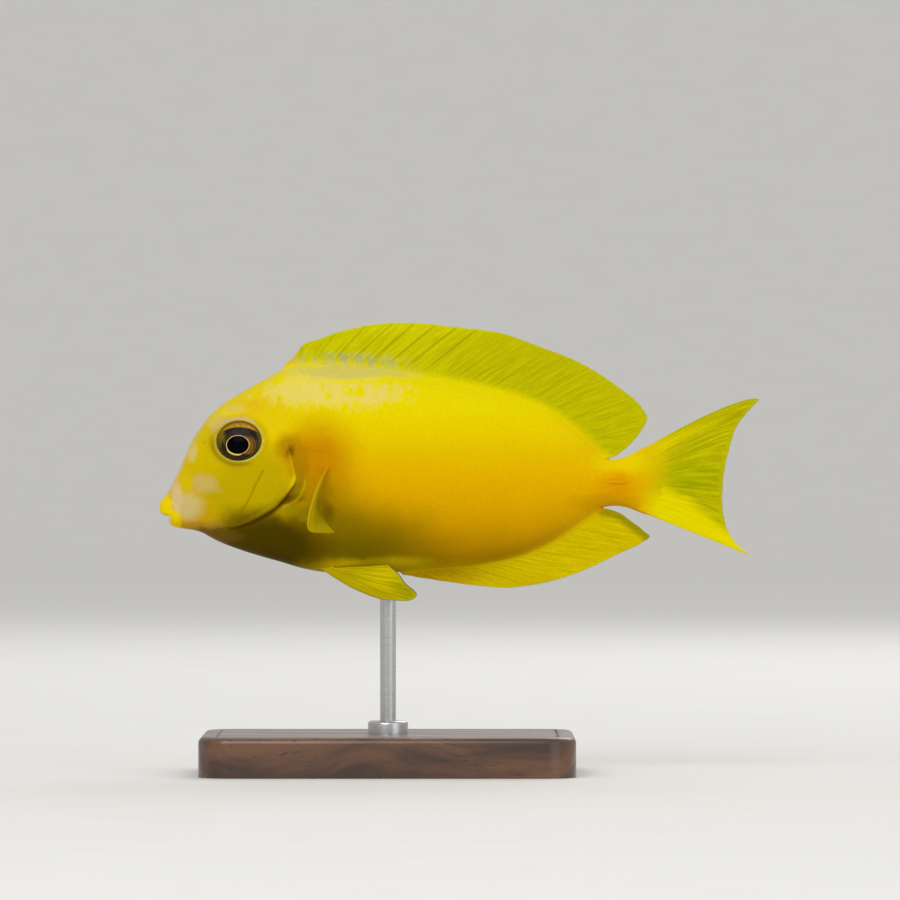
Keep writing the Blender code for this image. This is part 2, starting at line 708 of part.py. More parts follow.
def main():
    clear_scene()
    skin = material("skin", FISH_YELLOW, 0.4)
    fin = material("fin", FIN_YELLOW, 0.45)
    iris = material("eye", IRIS_BROWN, 0.1)
    blade = material("scalpel", BLADE_ORANGE, 0.35)
    wood = material("stand_wood", WOOD_BROWN, 0.35)
    steel = material("stand_steel", STEEL_GREY, 0.25, 1.0)
    make_head(skin)
    make_torso(skin)
    make_tail_stalk(skin)
    dorsal = (DORSAL_ROOT, DORSAL_EDGE, DORSAL_RAKE, back, 1, DORSAL_SPINES, DORSAL_RAYS, DORSAL_SPREAD)
    anal = (ANAL_ROOT, ANAL_EDGE, ANAL_RAKE, belly, -1, ANAL_SPINES, ANAL_RAYS, ANAL_SPREAD)
    median_fin("dorsal_fin", *dorsal, fin)
    median_fin("anal_fin", *anal, fin)
    make_tail_fin(fin)
    for side, label in ((-1, "left"), (1, "right")):
        make_eye(side, label, iris)
        make_scalpel(side, label, blade)
        make_pectoral_fin(side, label, fin)
        make_pelvic_fin(side, label, fin)
    make_stand(wood, steel)


main()
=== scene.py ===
# %% [markdown]
# # A juvenile orangeshoulder tang, life size, on a display stand
#
# The solid model of this fish is built elsewhere and comes in as a fixed frame. This lesson dresses it.
# One fine skin goes over the solids of head, trunk and tail stalk, finer fins take the place of the plain
# ones, and the eyes, the blades on the tail stalk and the stand get their own finish.
# Sizes are given in millimetres of the fish: how far behind the tip of the snout, how far out from the
# middle, and how high over the body axis, a level line through the middle of the tail stalk.

import bmesh
import bpy
import numpy as np
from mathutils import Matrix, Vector


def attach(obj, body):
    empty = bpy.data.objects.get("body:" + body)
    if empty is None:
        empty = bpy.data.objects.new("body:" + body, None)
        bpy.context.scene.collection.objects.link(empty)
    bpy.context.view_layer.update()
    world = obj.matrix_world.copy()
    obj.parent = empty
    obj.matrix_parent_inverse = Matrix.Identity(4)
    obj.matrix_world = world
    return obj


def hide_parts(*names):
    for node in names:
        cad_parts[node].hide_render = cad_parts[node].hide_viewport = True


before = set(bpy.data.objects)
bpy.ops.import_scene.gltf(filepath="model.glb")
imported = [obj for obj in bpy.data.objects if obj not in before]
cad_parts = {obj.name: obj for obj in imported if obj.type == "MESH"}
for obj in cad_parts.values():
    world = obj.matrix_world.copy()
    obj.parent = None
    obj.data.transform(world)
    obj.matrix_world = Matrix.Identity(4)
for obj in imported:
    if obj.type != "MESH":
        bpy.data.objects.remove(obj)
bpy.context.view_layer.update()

# %% [markdown]
# ## Camera
#
# The photograph shows the fish square from its left side, so perspective hardly tells. A long lens more
# than a metre away gives that flat view, and 900 pixels then span 135 mm at the middle of the fish.

# %% Camera
MM = 0.001
TOTAL_LENGTH = 90.0
AXIS_HEIGHT = 44.0  # over the floor
VIEW_WIDTH = 135.0  # what the picture spans at the fish
VIEW_CENTRE = (43.6, 4.5)  # distance behind the snout and height
VIEW_DISTANCE = 1200.0
SENSOR = 36.0


def to_frame(points):
    """Points of the fish as (distance, out, height) in millimetres, in the frame's metres."""
    return (np.asarray(points, float) + (-TOTAL_LENGTH / 2, 0.0, AXIS_HEIGHT)) * MM


bpy.ops.object.camera_add(rotation=(np.pi / 2, 0, 0))
camera = bpy.context.object
camera.location = to_frame((VIEW_CENTRE[0], -VIEW_DISTANCE, VIEW_CENTRE[1]))
camera.data.sensor_width = SENSOR
camera.data.lens = SENSOR * VIEW_DISTANCE / VIEW_WIDTH
camera.data.clip_start = 0.05
camera.data.clip_end = 10.0
bpy.context.scene.camera = camera
print("camera at", tuple(round(value, 4) for value in camera.location), "lens", round(camera.data.lens, 1))

# %% [markdown]
# ## Helpers for shapes
#
# A body of this kind is a bundle of smooth curves. `smooth` reads one through a few knots, and
# `along_curve` walks along one in space. `soft_step` and `bell` tell where a form begins, ends or
# swells. `offset_from` measures how far each point of the flank lies from a line that is drawn on it,
# which later shapes the gill cover and paints it.

# %% Curves
def smooth(knots, x, column=1):
    """Value at x of a smooth curve through the knots, where column picks which value of each knot."""
    xs = np.array([knot[0] for knot in knots], float)
    ys = np.array([knot[column] for knot in knots], float)
    steps = np.diff(xs)
    rises = np.diff(ys) / steps
    slopes = np.empty(len(xs))
    slopes[1:-1] = (rises[:-1] * steps[1:] + rises[1:] * steps[:-1]) / (steps[1:] + steps[:-1])
    slopes[0], slopes[-1] = rises[0], rises[-1]
    x = np.clip(x, xs[0], xs[-1])
    i = np.clip(np.searchsorted(xs, x, side="right") - 1, 0, len(steps) - 1)
    t = (x - xs[i]) / steps[i]
    bend_in = t * (1 - t) ** 2 * steps[i] * slopes[i]
    bend_out = t * t * (t - 1) * steps[i] * slopes[i + 1]
    return (1 + 2 * t) * (1 - t) ** 2 * ys[i] + t * t * (3 - 2 * t) * ys[i + 1] + bend_in + bend_out


def along_curve(points, share):
    """Point at a share of the length of a smooth curve through the points."""
    points = np.array(points, float)
    lengths = np.concatenate([[0], np.cumsum(np.linalg.norm(np.diff(points, axis=0), axis=1))])
    knots = np.column_stack([lengths / lengths[-1], points])
    return np.stack([smooth(knots, share, c + 1) for c in range(points.shape[1])], axis=-1)


def soft_step(x, start, end):
    """0 at start, 1 at end and smooth between them."""
    t = np.clip((x - start) / (end - start), 0, 1)
    return t * t * (3 - 2 * t)


def bell(x, centre, width):
    """1 at the centre, falling off smoothly on both sides."""
    return np.exp(-(((x - centre) / width) ** 2))


def offset_from(places, line):
    """Distance of places in the side view from a line, positive on its left, and the nearest points on it."""
    best = np.full(len(places), np.inf)
    side = np.zeros(len(places))
    nearest = np.zeros_like(places)
    for start, end in zip(line, line[1:]):
        run = end - start
        share = np.clip(((places - start) @ run) / (run @ run), 0, 1)
        foot = start + share[:, None] * run
        apart = places - foot
        distance = np.linalg.norm(apart, axis=1)
        closer = distance < best
        best[closer] = distance[closer]
        side[closer] = np.sign(run[0] * apart[closer, 1] - run[1] * apart[closer, 0])
        nearest[closer] = foot[closer]
    return best * side, nearest


# %% [markdown]
# ## Helpers for pieces
#
# Skin and fins are all one kind of thing, a sheet rolled round until its sides meet. The primitive for
# that is the grid: it is added with as many cells as the sheet needs, its points are laid where the
# curves say, and what meets is welded, which closes the seam and the ends. The grid also brings an even
# UV map, which is kept under the name that the export bakes with.

# %% Rolled sheets
WELD = 0.002 * MM


def deselect():
    """Deselects everything, so that the next operator acts on the new piece alone."""
    bpy.ops.object.select_all(action="DESELECT")


def weld(piece):
    """Merges the points that meet, and turns the faces outwards."""
    bpy.context.view_layer.objects.active = piece
    bpy.ops.object.mode_set(mode="EDIT")
    bpy.ops.mesh.select_all(action="SELECT")
    bpy.ops.mesh.remove_doubles(threshold=WELD)
    bpy.ops.object.mode_set(mode="OBJECT")
    shape = bmesh.new()
    shape.from_mesh(piece.data)
    inside_out = shape.calc_volume(signed=True) < 0
    shape.free()
    if inside_out:
        piece.data.flip_normals()
    bpy.ops.object.shade_smooth()


def rolled_sheet(name, points, marks):
    """A closed piece over a grid of points of the fish, with marks as values for its material to read."""
    rows, columns = points.shape[:2]
    deselect()
    bpy.ops.mesh.primitive_grid_add(x_subdivisions=columns - 1, y_subdivisions=rows - 1, size=2)
    piece = bpy.context.object
    piece.name = name
    mesh = piece.data
    flat = np.empty(len(mesh.vertices) * 3)
    mesh.vertices.foreach_get("co", flat)
    flat = flat.reshape(-1, 3)
    column = np.rint((flat[:, 0] + 1) / 2 * (columns - 1)).astype(int)
    row = np.rint((flat[:, 1] + 1) / 2 * (rows - 1)).astype(int)
    mesh.vertices.foreach_set("co", to_frame(points[row, column]).ravel())
    mesh.uv_layers[0].name = "OFBake"
    for mark, values in marks.items():
        made = mesh.attributes.new(mark, "FLOAT", "POINT")
        made.data.foreach_set("value", values[row, column].astype(np.float32))
    weld(piece)
    return piece


def dress(piece, finish, slot, *stands_for):
    """Gives a piece its material, fixes it to the fish and says which solids it stands for."""
    piece.data.materials.clear()
    piece.data.materials.append(finish)
    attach(piece, "root")
    if stands_for:
        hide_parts(*stands_for)
    triangles = sum(len(face.vertices) - 2 for face in piece.data.polygons)
    print(f"{piece.name}: {triangles} triangles, for {stands_for or 'itself'}")


# %% [markdown]
# ## Helpers for materials
#
# Colours are given as they look on screen and turned into the linear values that shaders count with.
# `add` places a node, sets it and connects it in one call, `mix` lays one colour over another, and
# `raise_surface` gives a fine relief that is light and shade only.

# %% Nodes
def paint(red, green, blue):
    """A colour as given on screen, from 0 to 255, in linear values."""
    values = np.array((red, green, blue)) / 255
    linear = np.where(values <= 0.04045, values / 12.92, ((values + 0.055) / 1.055) ** 2.4)
    return (*(float(value) for value in linear), 1.0)


def add(tree, kind, inputs=None, **settings):
    made = tree.nodes.new(kind)
    for key, value in settings.items():
        setattr(made, key, value)
    for key, value in (inputs or {}).items():
        if isinstance(value, bpy.types.NodeSocket):
            tree.links.new(value, made.inputs[key])
        else:
            made.inputs[key].default_value = value
    return made


def mix(tree, factor, below, above, blend="MIX"):
    """The colour below with the colour above laid over it."""
    made = add(tree, "ShaderNodeMix", data_type="RGBA", blend_type=blend, clamp_factor=True)
    for socket, value in ((made.inputs[0], factor), (made.inputs[6], below), (made.inputs[7], above)):
        if isinstance(value, bpy.types.NodeSocket):
            tree.links.new(value, socket)
        else:
            socket.default_value = value
    return made.outputs[2]


def maths(tree, operation, first, second=0.0, third=0.0, clamp=False):
    made = add(tree, "ShaderNodeMath", {0: first, 1: second, 2: third}, operation=operation, use_clamp=clamp)
    return made.outputs[0]


def vector_maths(tree, operation, *values):
    return add(tree, "ShaderNodeVectorMath", dict(enumerate(values)), operation=operation).outputs[0]


def times(tree, *masks):
    """Masks multiplied with each other."""
    product = masks[0]
    for mask in masks[1:]:
        product = maths(tree, "MULTIPLY", product, mask)
    return product


def ramp(tree, value, start, end, low=0.0, high=1.0):
    """Low up to start, high from end, and smooth between them."""
    inputs = {"Value": value, "From Min": start, "From Max": end, "To Min": low, "To Max": high}
    return add(tree, "ShaderNodeMapRange", inputs, interpolation_type="SMOOTHSTEP").outputs[0]


def noise(tree, place, scale, detail=2.0, roughness=0.5, channel="Fac"):
    inputs = {"Vector": place, "Scale": scale, "Detail": detail, "Roughness": roughness}
    return add(tree, "ShaderNodeTexNoise", inputs).outputs[channel]


def as_grey(tree, value):
    """A grey of a lightness, for a colour to be multiplied by."""
    return add(tree, "ShaderNodeCombineColor", {0: value, 1: value, 2: value}).outputs[0]


def mark(tree, name):
    """The value that a piece carries under a name."""
    return add(tree, "ShaderNodeAttribute", attribute_name=name, attribute_type="GEOMETRY").outputs["Fac"]


def new_material(name):
    """A material with its tree and its Principled shader."""
    made = bpy.data.materials.new(name)
    made.use_nodes = True
    return made, made.node_tree, made.node_tree.nodes["Principled BSDF"]


def raise_surface(tree, shader, height, strength, depth, invert=False):
    """Bumps a surface by a height from 0 to 1, which stands for a depth in millimetres."""
    inputs = {"Height": height, "Strength": strength, "Distance": depth * MM}
    bump = add(tree, "ShaderNodeBump", inputs, invert=invert)
    tree.links.new(bump.outputs["Normal"], shader.inputs["Normal"])


def set_values(shader, **values):
    """Sets sockets of a shader that have one value all over, where _ in a name stands for a space."""
    for key, value in values.items():
        shader.inputs[key.replace("_", " ")].default_value = value


def new_group(name, inputs, outputs):
    """A node group with its sockets, given as (name, kind, default)."""
    group = bpy.data.node_groups.new(name, "ShaderNodeTree")
    for label, kind, default in inputs:
        socket = group.interface.new_socket(label, in_out="INPUT", socket_type="NodeSocket" + kind)
        if default is not None:
            socket.default_value = default
    for label, kind in outputs:
        group.interface.new_socket(label, in_out="OUTPUT", socket_type="NodeSocket" + kind)
    return group, group.nodes.new("NodeGroupInput"), group.nodes.new("NodeGroupOutput")


def use_group(tree, group, inputs):
    made = tree.nodes.new("ShaderNodeGroup")
    made.node_tree = group
    for key, value in inputs.items():
        if isinstance(value, bpy.types.NodeSocket):
            tree.links.new(value, made.inputs[key])
        else:
            made.inputs[key].default_value = value
    return made


# %% [markdown]
# ## The skin
#
# On the real fish one scaly hide runs from the lips to the root of the tail fin. The plain model has it in
# three solids, so one skin replaces all three and no seam shows. A sculptor would pull rings off the same
# stations that the solids were built from, only much closer together, and so does this cell: leaning rings
# round the mouth, then upright ones, and at the end a thin wedge that lies over the roots of the tail rays.

# %% Stations of the body
BODY_STATIONS = (  # distance from the snout, height of the back, height of the belly, half width
    (4.8, 5.7, -7.4, 2.6),
    (6.2, 8.0, -7.85, 3.15),
    (9.1, 11.0, -9.3, 3.95),
    (12.1, 13.0, -10.45, 4.5),
    (15.1, 14.7, -11.4, 5.0),
    (18.3, 16.3, -12.3, 5.35),
    (21.5, 16.9, -13.25, 5.6),
    (26.0, 16.9, -13.95, 5.8),
    (32.0, 16.4, -13.95, 5.8),
    (40.0, 15.2, -13.1, 5.5),
    (48.0, 13.7, -12.3, 4.9),
    (54.0, 12.0, -11.0, 4.1),
    (58.6, 9.9, -8.9, 3.35),
    (63.1, 6.5, -6.0, 2.5),
    (65.5, 4.2, -4.5, 2.05),
    (67.6, 3.1, -3.9, 1.75),
    (69.6, 3.4, -4.0, 1.5),
    (72.5, 4.8, -5.0, 0.95),
)
MUZZLE_RINGS = (  # each ring's top (distance, height), side (distance, height, out) and bottom
    ((1.85, -5.36), (2.05, -5.48, 0.60), (1.95, -5.62)),  # back of the mouth
    ((1.20, -5.32), (1.96, -5.50, 1.02), (1.66, -5.74)),
    ((0.62, -5.22), (1.88, -5.52, 1.36), (1.49, -5.96)),
    ((0.16, -4.90), (1.86, -5.52, 1.62), (1.43, -6.22)),
    ((0.00, -4.35), (2.02, -5.48, 1.82), (1.58, -6.58)),  # crest of the lips
    ((0.12, -3.52), (2.45, -5.38, 1.96), (1.95, -6.88)),
    ((0.54, -2.80), (2.95, -5.24, 2.02), (2.52, -7.10)),
    ((1.17, -2.10), (3.42, -5.06, 1.96), (3.20, -7.22)),  # outer edge of the lips
    ((1.66, -1.22), (3.88, -4.70, 2.16), (3.90, -7.31)),
    ((2.46, 0.42), (4.50, -4.00, 2.55), (4.70, -7.42)),
    ((3.62, 2.95), (5.30, -2.60, 2.92), (5.60, -7.62)),
    ((5.10, 6.25), (6.30, -0.90, 3.24), (6.60, -7.95)),
)
BACK_POWER, BELLY_POWER = 1.8, 2.1  # below 2 the back comes to a soft ridge
MUZZLE_POWER = 2.0
WIDEST_SHARE = 0.5
MUZZLE_END, STALK_END = 7.4, 72.5
MUZZLE_STEP = 1.2  # between the first upright rings
SPACING_CHANGES = (29.0, 63.5)  # where the rings' spacing on the trunk changes
HEAD_SPACING = 0.2  # of the rings as far as the first of these


def back(s):
    return smooth(BODY_STATIONS, s, 1)


def belly(s):
    return smooth(BODY_STATIONS, s, 2)


def half_width(s):
    return smooth(BODY_STATIONS, s, 3)


def widest(s):
    return belly(s) + WIDEST_SHARE * (back(s) - belly(s))


def flank(s, height):
    """How far out the skin of the trunk lies at a distance and a height."""
    upper = height > widest(s)
    reach = np.where(upper, back(s) - widest(s), widest(s) - belly(s))
    power = np.where(upper, BACK_POWER, BELLY_POWER)
    share = np.clip(abs(height - widest(s)) / reach, 0, 1)
    return half_width(s) * (1 - share**power) ** (1 / power)


print("trunk at its widest:", round(2 * max(station[3] for station in BODY_STATIONS), 1), "mm")

# %% [markdown]
# The tail fin comes first in the making, because the wedge of skin at the end of the stalk has to stay
# between its upper and its lower edge. A ray of the tail runs from the end of the stalk to the trailing
# edge, and the upper rays bow outwards a little.

# %% Lines of the tail fin
GAP = 0.3  # that the solids keep between each other
TAIL_ROOT_HEIGHTS = (4.8, -5.0)
TAIL_EDGE = (
    (90.0, 11.95),
    (88.4, 10.3),
    (86.6, 7.9),
    (85.5, 4.6),
    (84.8, 1.6),
    (84.5, -1.6),
    (84.6, -4.9),
    (85.4, -7.8),
    (87.0, -10.0),
    (88.9, -11.45),
)
TAIL_TIP_CROWDING = 0.08
TAIL_BOW = 3.0


def tail_point(share, v):
    """Point of the tail fin: share from its upper to its lower edge, v from the root to the tip of a ray."""
    top, bottom = TAIL_ROOT_HEIGHTS
    share, v = np.broadcast_arrays(np.asarray(share, float), np.asarray(v, float))
    foot = np.stack([np.full(share.shape, STALK_END + GAP), top + (bottom - top) * share], axis=-1)
    tip = along_curve(TAIL_EDGE, share - TAIL_TIP_CROWDING * np.sin(2 * np.pi * share))
    side_view = foot + (tip - foot) * v[..., None]
    bow = TAIL_BOW * (1 - share) ** 3 * v * np.sqrt(np.clip(1 - v, 0, None))
    return np.stack([side_view[..., 0], np.zeros(share.shape), side_view[..., 1] + bow], axis=-1)


# %% Rings of the skin
SKIN_AROUND = 336  # points round each ring
RING_SAMPLES = 1441
WEDGE_END = 75.7  # where the skin thins out over the roots of the tail rays
WEDGE_HALF = 0.24
WEDGE_INSET = 0.12  # of the far end of the wedge from the edges of the fin
LIP_RING = 7  # number of the muzzle's ring at the outer edge of the lips, before which rings lie closer


def upright_row(s):
    """A ring as a row: its top, its side and its bottom."""
    return [s, back(s), s, widest(s), half_width(s), s, belly(s)]


def fin_edge(share, s):
    """Height of the upper (0) or the lower (1) edge of the tail fin at a distance."""
    foot = STALK_END + GAP
    return tail_point(share, (s - foot) / (TAIL_EDGE[-share][0] - foot))[2]


def wedge_row(s):
    """A ring over the roots of the tail rays. It leaves the stalk's outline for one inside the fin's."""
    reach = (s - STALK_END) / (WEDGE_END - STALK_END)
    leave = soft_step(reach, 0, 0.55)
    start = [back(STALK_END) - fin_edge(0, STALK_END), belly(STALK_END) - fin_edge(1, STALK_END)]
    top = fin_edge(0, s) + start[0] * (1 - leave) - WEDGE_INSET * leave
    bottom = fin_edge(1, s) + start[1] * (1 - leave) + WEDGE_INSET * leave
    out = half_width(STALK_END) + (WEDGE_HALF - half_width(STALK_END)) * soft_step(reach, -0.25, 1)
    return [s, top, s, (top + bottom) / 2, out, s, bottom]


def ring(row, upper_power, lower_power):
    """Points of a ring at even steps, from the belly up the right side and down the left."""
    top_s, top_h, side_s, side_h, side_out, bottom_s, bottom_h = row
    turn = np.linspace(-np.pi / 2, 1.5 * np.pi, RING_SAMPLES)
    upper = np.sin(turn) > 0
    power = np.where(upper, upper_power, lower_power)
    rise = abs(np.sin(turn)) ** (2 / power)
    s = side_s + (np.where(upper, top_s, bottom_s) - side_s) * rise
    h = side_h + (np.where(upper, top_h, bottom_h) - side_h) * rise
    out = side_out * np.sign(np.cos(turn)) * abs(np.cos(turn)) ** (2 / power)
    out[[0, -1]] = 0
    line = np.column_stack([s, out, h])
    length = np.concatenate([[0], np.cumsum(np.linalg.norm(np.diff(line, axis=0), axis=1))])
    even = np.linspace(0, length[-1], SKIN_AROUND + 1)
    return np.column_stack([np.interp(even, length, line[:, c]) for c in range(3)])


knots = [[t, *top, *side, *bottom] for t, (top, side, bottom) in enumerate(MUZZLE_RINGS)]
FIRST_UPRIGHT = len(MUZZLE_RINGS)
for k in range(3):
    knots.append([FIRST_UPRIGHT + k, *upright_row(MUZZLE_END + MUZZLE_STEP * k)])
muzzle_turns = np.concatenate(
    [np.linspace(0, LIP_RING, 32)[:-1], np.linspace(LIP_RING, FIRST_UPRIGHT + 1, 34)[:-1]]
)
trunk_stations = np.concatenate(
    [
        np.arange(MUZZLE_END + MUZZLE_STEP, SPACING_CHANGES[0], HEAD_SPACING),
        np.linspace(*SPACING_CHANGES, 68)[:-1],
        np.linspace(SPACING_CHANGES[1], STALK_END, 30)[:-1],
    ]
)
rings = []
from_mouth = []
for t in muzzle_turns:
    upright = soft_step(t, FIRST_UPRIGHT - 2, FIRST_UPRIGHT + 1)
    powers = [MUZZLE_POWER + (power - MUZZLE_POWER) * upright for power in (BACK_POWER, BELLY_POWER)]
    rings.append(ring([smooth(knots, t, c) for c in range(1, 8)], *powers))
    from_mouth.append(t)
for s in trunk_stations:
    rings.append(ring(upright_row(s), BACK_POWER, BELLY_POWER))
    from_mouth.append(FIRST_UPRIGHT + 1)
for s in np.linspace(STALK_END, WEDGE_END, 13):
    rings.append(ring(wedge_row(s), BACK_POWER, BELLY_POWER))
    from_mouth.append(FIRST_UPRIGHT + 1)
hide = np.array(rings)
hide[0] = hide[0].mean(axis=0)
hide[-1, :, 1] = 0
from_mouth = np.repeat(np.array(from_mouth, float)[:, None], SKIN_AROUND + 1, axis=1)
print("rings of the skin:", hide.shape[:2])

# %% [markdown]
# ## Details of the hide
#
# The gill cover ends in a thin raised edge over a sunk slit, a crease crosses the cheek, two nostrils sit
# before the eye, and the blade on the tail stalk lies in a sheath. The paint of the skin then gives the
# edge a painted highlight and the slit and the crease painted shade. With a brush one would carve these by
# hand. Here each is a line or a spot in the side view. First the grid's own points are drawn in towards
# it, so that its edge comes out crisp, and then the hide is raised and sunk along its normals.

# %% Lines on the flank
GILL_EDGE = (
    (18.5, 20.0),
    (18.8, 16.3),
    (19.1, 10.5),
    (19.6, 5.4),
    (20.3, 2.2),
    (20.6, 0.0),
    (20.0, -1.2),
    (18.9, -2.6),
    (17.4, -4.1),
    (14.6, -5.8),
    (11.6, -6.9),
    (8.8, -7.4),
    (7.4, -9.2),
    (6.8, -13.0),
)
GILL_REAR = ((20.4, 4.4), (21.2, 2.6), (21.9, 0.3), (21.6, -1.3), (20.7, -2.8), (19.5, -3.6), (18.5, -3.9))
PREOPERCLE = ((15.7, 1.4), (14.75, -0.35), (13.95, -2.1), (13.25, -3.5), (12.55, -4.5), (12.35, -4.8))
NOSTRILS = (((7.0, 5.6), 0.3), ((7.75, 6.3), 0.22))
EYE_PLACE = (12.05, 5.9)
EYE_RADII = (3.65, 3.2, 1.45)  # along, up and out
EYE_SINK = 0.55
EYE_TURN = (-0.17, 0.13)
IRIS_SHARE = 0.935  # of the eyeball's outline, where the hide meets it
SCALPEL_PLACE = (68.2, -0.35)
SCALPEL_RADII = (1.9, 0.42, 0.42)

gill_line = along_curve(GILL_EDGE, np.linspace(0, 1, 70))
gill_rear = along_curve(GILL_REAR, np.linspace(0, 1, 26))
cheek_line = along_curve(PREOPERCLE, np.linspace(0, 1, 22))


def eye_axes():
    """Centre of the left eyeball and its axes along, up and out, in millimetres of the fish."""
    out = np.array((EYE_TURN[0], -1.0, EYE_TURN[1]))
    out /= np.linalg.norm(out)
    along = np.array((1.0, 0.0, 0.0))
    along -= out * (along @ out)
    along /= np.linalg.norm(along)
    up = np.cross(out, along)
    s, h = EYE_PLACE
    centre = np.array((s, -float(flank(np.array(s), np.array(h))), h)) - out * EYE_SINK
    return centre, along, up, out


eye_centre, eye_along, eye_up, eye_out = eye_axes()


def in_eye(points):
    """Where points lie seen from the eye on their side: along, up, out, and their share of its outline."""
    left = points * (1, -1, 1)
    left[..., 1] = -abs(points[..., 1])
    apart = left - eye_centre
    along, up, out = apart @ eye_along, apart @ eye_up, apart @ eye_out
    return along, up, out, np.hypot(along / EYE_RADII[0], up / EYE_RADII[1])


def normals_of(points):
    """Unit normals of a grid of points, pointing out of the fish."""
    around = np.gradient(points, axis=1)
    down = np.gradient(points, axis=0)
    normals = np.cross(around, down)
    length = np.linalg.norm(normals, axis=2)[..., None]
    normals /= np.where(length > 1e-9, length, 1)
    outwards = np.sign((normals[..., 1] * np.sign(points[..., 1])).mean())
    return normals * outwards


def draw_in(points, nearest, reach):
    """Draws the grid's points within reach of a line closer to it, in the plane of the hide."""
    normals = normals_of(points)
    apart = points[..., [0, 2]] - nearest
    share = np.clip(np.linalg.norm(apart, axis=-1) / reach, 1e-6, 1)
    flat = soft_step(abs(normals[..., 1]), 0.3, 0.6)
    change = apart * (((share**0.8) - 1) * flat)[..., None]
    facing = np.where(abs(normals[..., 1]) > 0.3, normals[..., 1], np.inf)
    lift = -(normals[..., 0] * change[..., 0] + normals[..., 2] * change[..., 1]) / facing
    return points + np.stack([change[..., 0], lift, change[..., 1]], axis=-1)


def side_offset(points, line):
    """Distance of a grid's points from a line on the flank, and their nearest points on it."""
    distance, nearest = offset_from(points[..., [0, 2]].reshape(-1, 2), line)
    return distance.reshape(points.shape[:2]), nearest.reshape(*points.shape[:2], 2)


LINE_REACHES = ((gill_line, 0.8), (gill_rear, 0.5), (cheek_line, 0.5))
EYE_PASSES, EYE_REACH, NOSTRIL_REACH = 2, 0.6, 0.5

for line, reach in LINE_REACHES:
    hide = draw_in(hide, side_offset(hide, line)[1], reach)
eye_spot = np.array(EYE_PLACE)
for _ in range(EYE_PASSES):
    share = in_eye(hide)[3][..., None]
    nearest = eye_spot + (hide[..., [0, 2]] - eye_spot) * (IRIS_SHARE / np.clip(share, 0.2, None))
    hide = draw_in(hide, nearest, EYE_REACH)
for place, radius in NOSTRILS:
    apart = hide[..., [0, 2]] - np.array(place)
    stretch = radius / np.clip(np.linalg.norm(apart, axis=-1), 0.05, None)
    hide = draw_in(hide, np.array(place) + apart * stretch[..., None], NOSTRIL_REACH)
print("hide drawn in along", len(LINE_REACHES) + EYE_PASSES + len(NOSTRILS), "lines")

# %% Gill cover, cheek and shoulder
COVER_LIFT = 0.34  # how far the gill cover stands out over the shoulder
COVER_RIM_LIFT = 0.06  # of the thin rim along its edge
OPENING_DEPTH = 0.3
CREASE_DEPTH, CREASE_WIDTH = 0.3, 0.95
REAR_RIDGE_LIFT = 0.07  # of the border behind the gill opening
CHEEK_RIDGE_LIFT, CHEEK_GROOVE_DEPTH = 0.02, 0.07
PECTORAL_ROOT = ((25.4, 2.3), (23.9, -2.2))  # leading and trailing end
PECTORAL_BASE_LIFT, PECTORAL_BASE_REACH = 0.24, 0.7  # of the flesh at the fin's root
KEEL_LIFT, KEEL_REACH = 0.38, 0.75  # of the flesh that runs out on to the roots of the middle fins

s_of, h_of = hide[..., 0], hide[..., 2]
ring_lengths = np.linalg.norm(np.diff(hide, axis=1), axis=2).sum(axis=1)[:, None]
steps_round = np.arange(SKIN_AROUND + 1) / SKIN_AROUND
from_back = abs(steps_round - 0.5) * ring_lengths
from_belly = (0.5 - abs(steps_round - 0.5)) * ring_lengths
gill = side_offset(hide, gill_line)[0]
rear = side_offset(hide, gill_rear)[0]
cheek = side_offset(hide, cheek_line)[0]

# the cover's edge is faint above and stands off below, and it ends before the chin
over_chin = soft_step(h_of, -8.4, -6.8)
behind_jaw = soft_step(s_of, 9.5, 13.0)
open_height = soft_step(h_of, 6.0, 4.4) * over_chin
low = soft_step(h_of, 1.2, -0.9)
lift_share = soft_step(h_of, 9.0, 4.5) * (0.35 + 0.65 * low) * over_chin
lift_share *= soft_step(s_of, 8.0, 11.5)
in_front = soft_step(gill, -7.0, -0.4)
behind = soft_step(gill, 3.0, 0.0) * (1 - open_height)
relief = COVER_LIFT * lift_share * np.where(gill < 0, in_front, behind)
relief += COVER_RIM_LIFT * bell(gill, -0.14, 0.16) * open_height

past_edge = soft_step(gill, 0.0, 0.05)
opening = past_edge * soft_step(rear, 0.02, -0.3) * soft_step(h_of, 4.4, 3.2) * soft_step(h_of, -4.2, -3.4)
opening *= 0.12 + 0.88 * soft_step(h_of, 0.4, -1.2)
crease = past_edge * soft_step(gill, CREASE_WIDTH, 0.2) * soft_step(h_of, -1.8, -3.0)
crease *= behind_jaw
relief -= np.maximum(OPENING_DEPTH * opening, CREASE_DEPTH * crease)
rear_ridge = bell(rear, 0.12, 0.16) * soft_step(h_of, 3.4, 1.4) * soft_step(h_of, -3.7, -2.9)
relief += REAR_RIDGE_LIFT * rear_ridge

cheek_groove = bell(cheek, 0.0, 0.1)
cheek_ridge = bell(cheek, -0.24, 0.12) * soft_step(h_of, -1.5, -3.4)
relief += CHEEK_RIDGE_LIFT * cheek_ridge - CHEEK_GROOVE_DEPTH * cheek_groove

under_dorsal = bell(from_back, 0, KEEL_REACH) * soft_step(s_of, 16.6, 20.0) * soft_step(s_of, 67.6, 65.0)
over_anal = bell(from_belly, 0, KEEL_REACH) * soft_step(s_of, 34.6, 37.0) * soft_step(s_of, 66.8, 64.5)
relief += KEEL_LIFT * np.maximum(under_dorsal, over_anal)

pectoral_line = along_curve(PECTORAL_ROOT, np.linspace(0, 1, 3))
relief += PECTORAL_BASE_LIFT * bell(side_offset(hide, pectoral_line)[0], 0.0, PECTORAL_BASE_REACH)

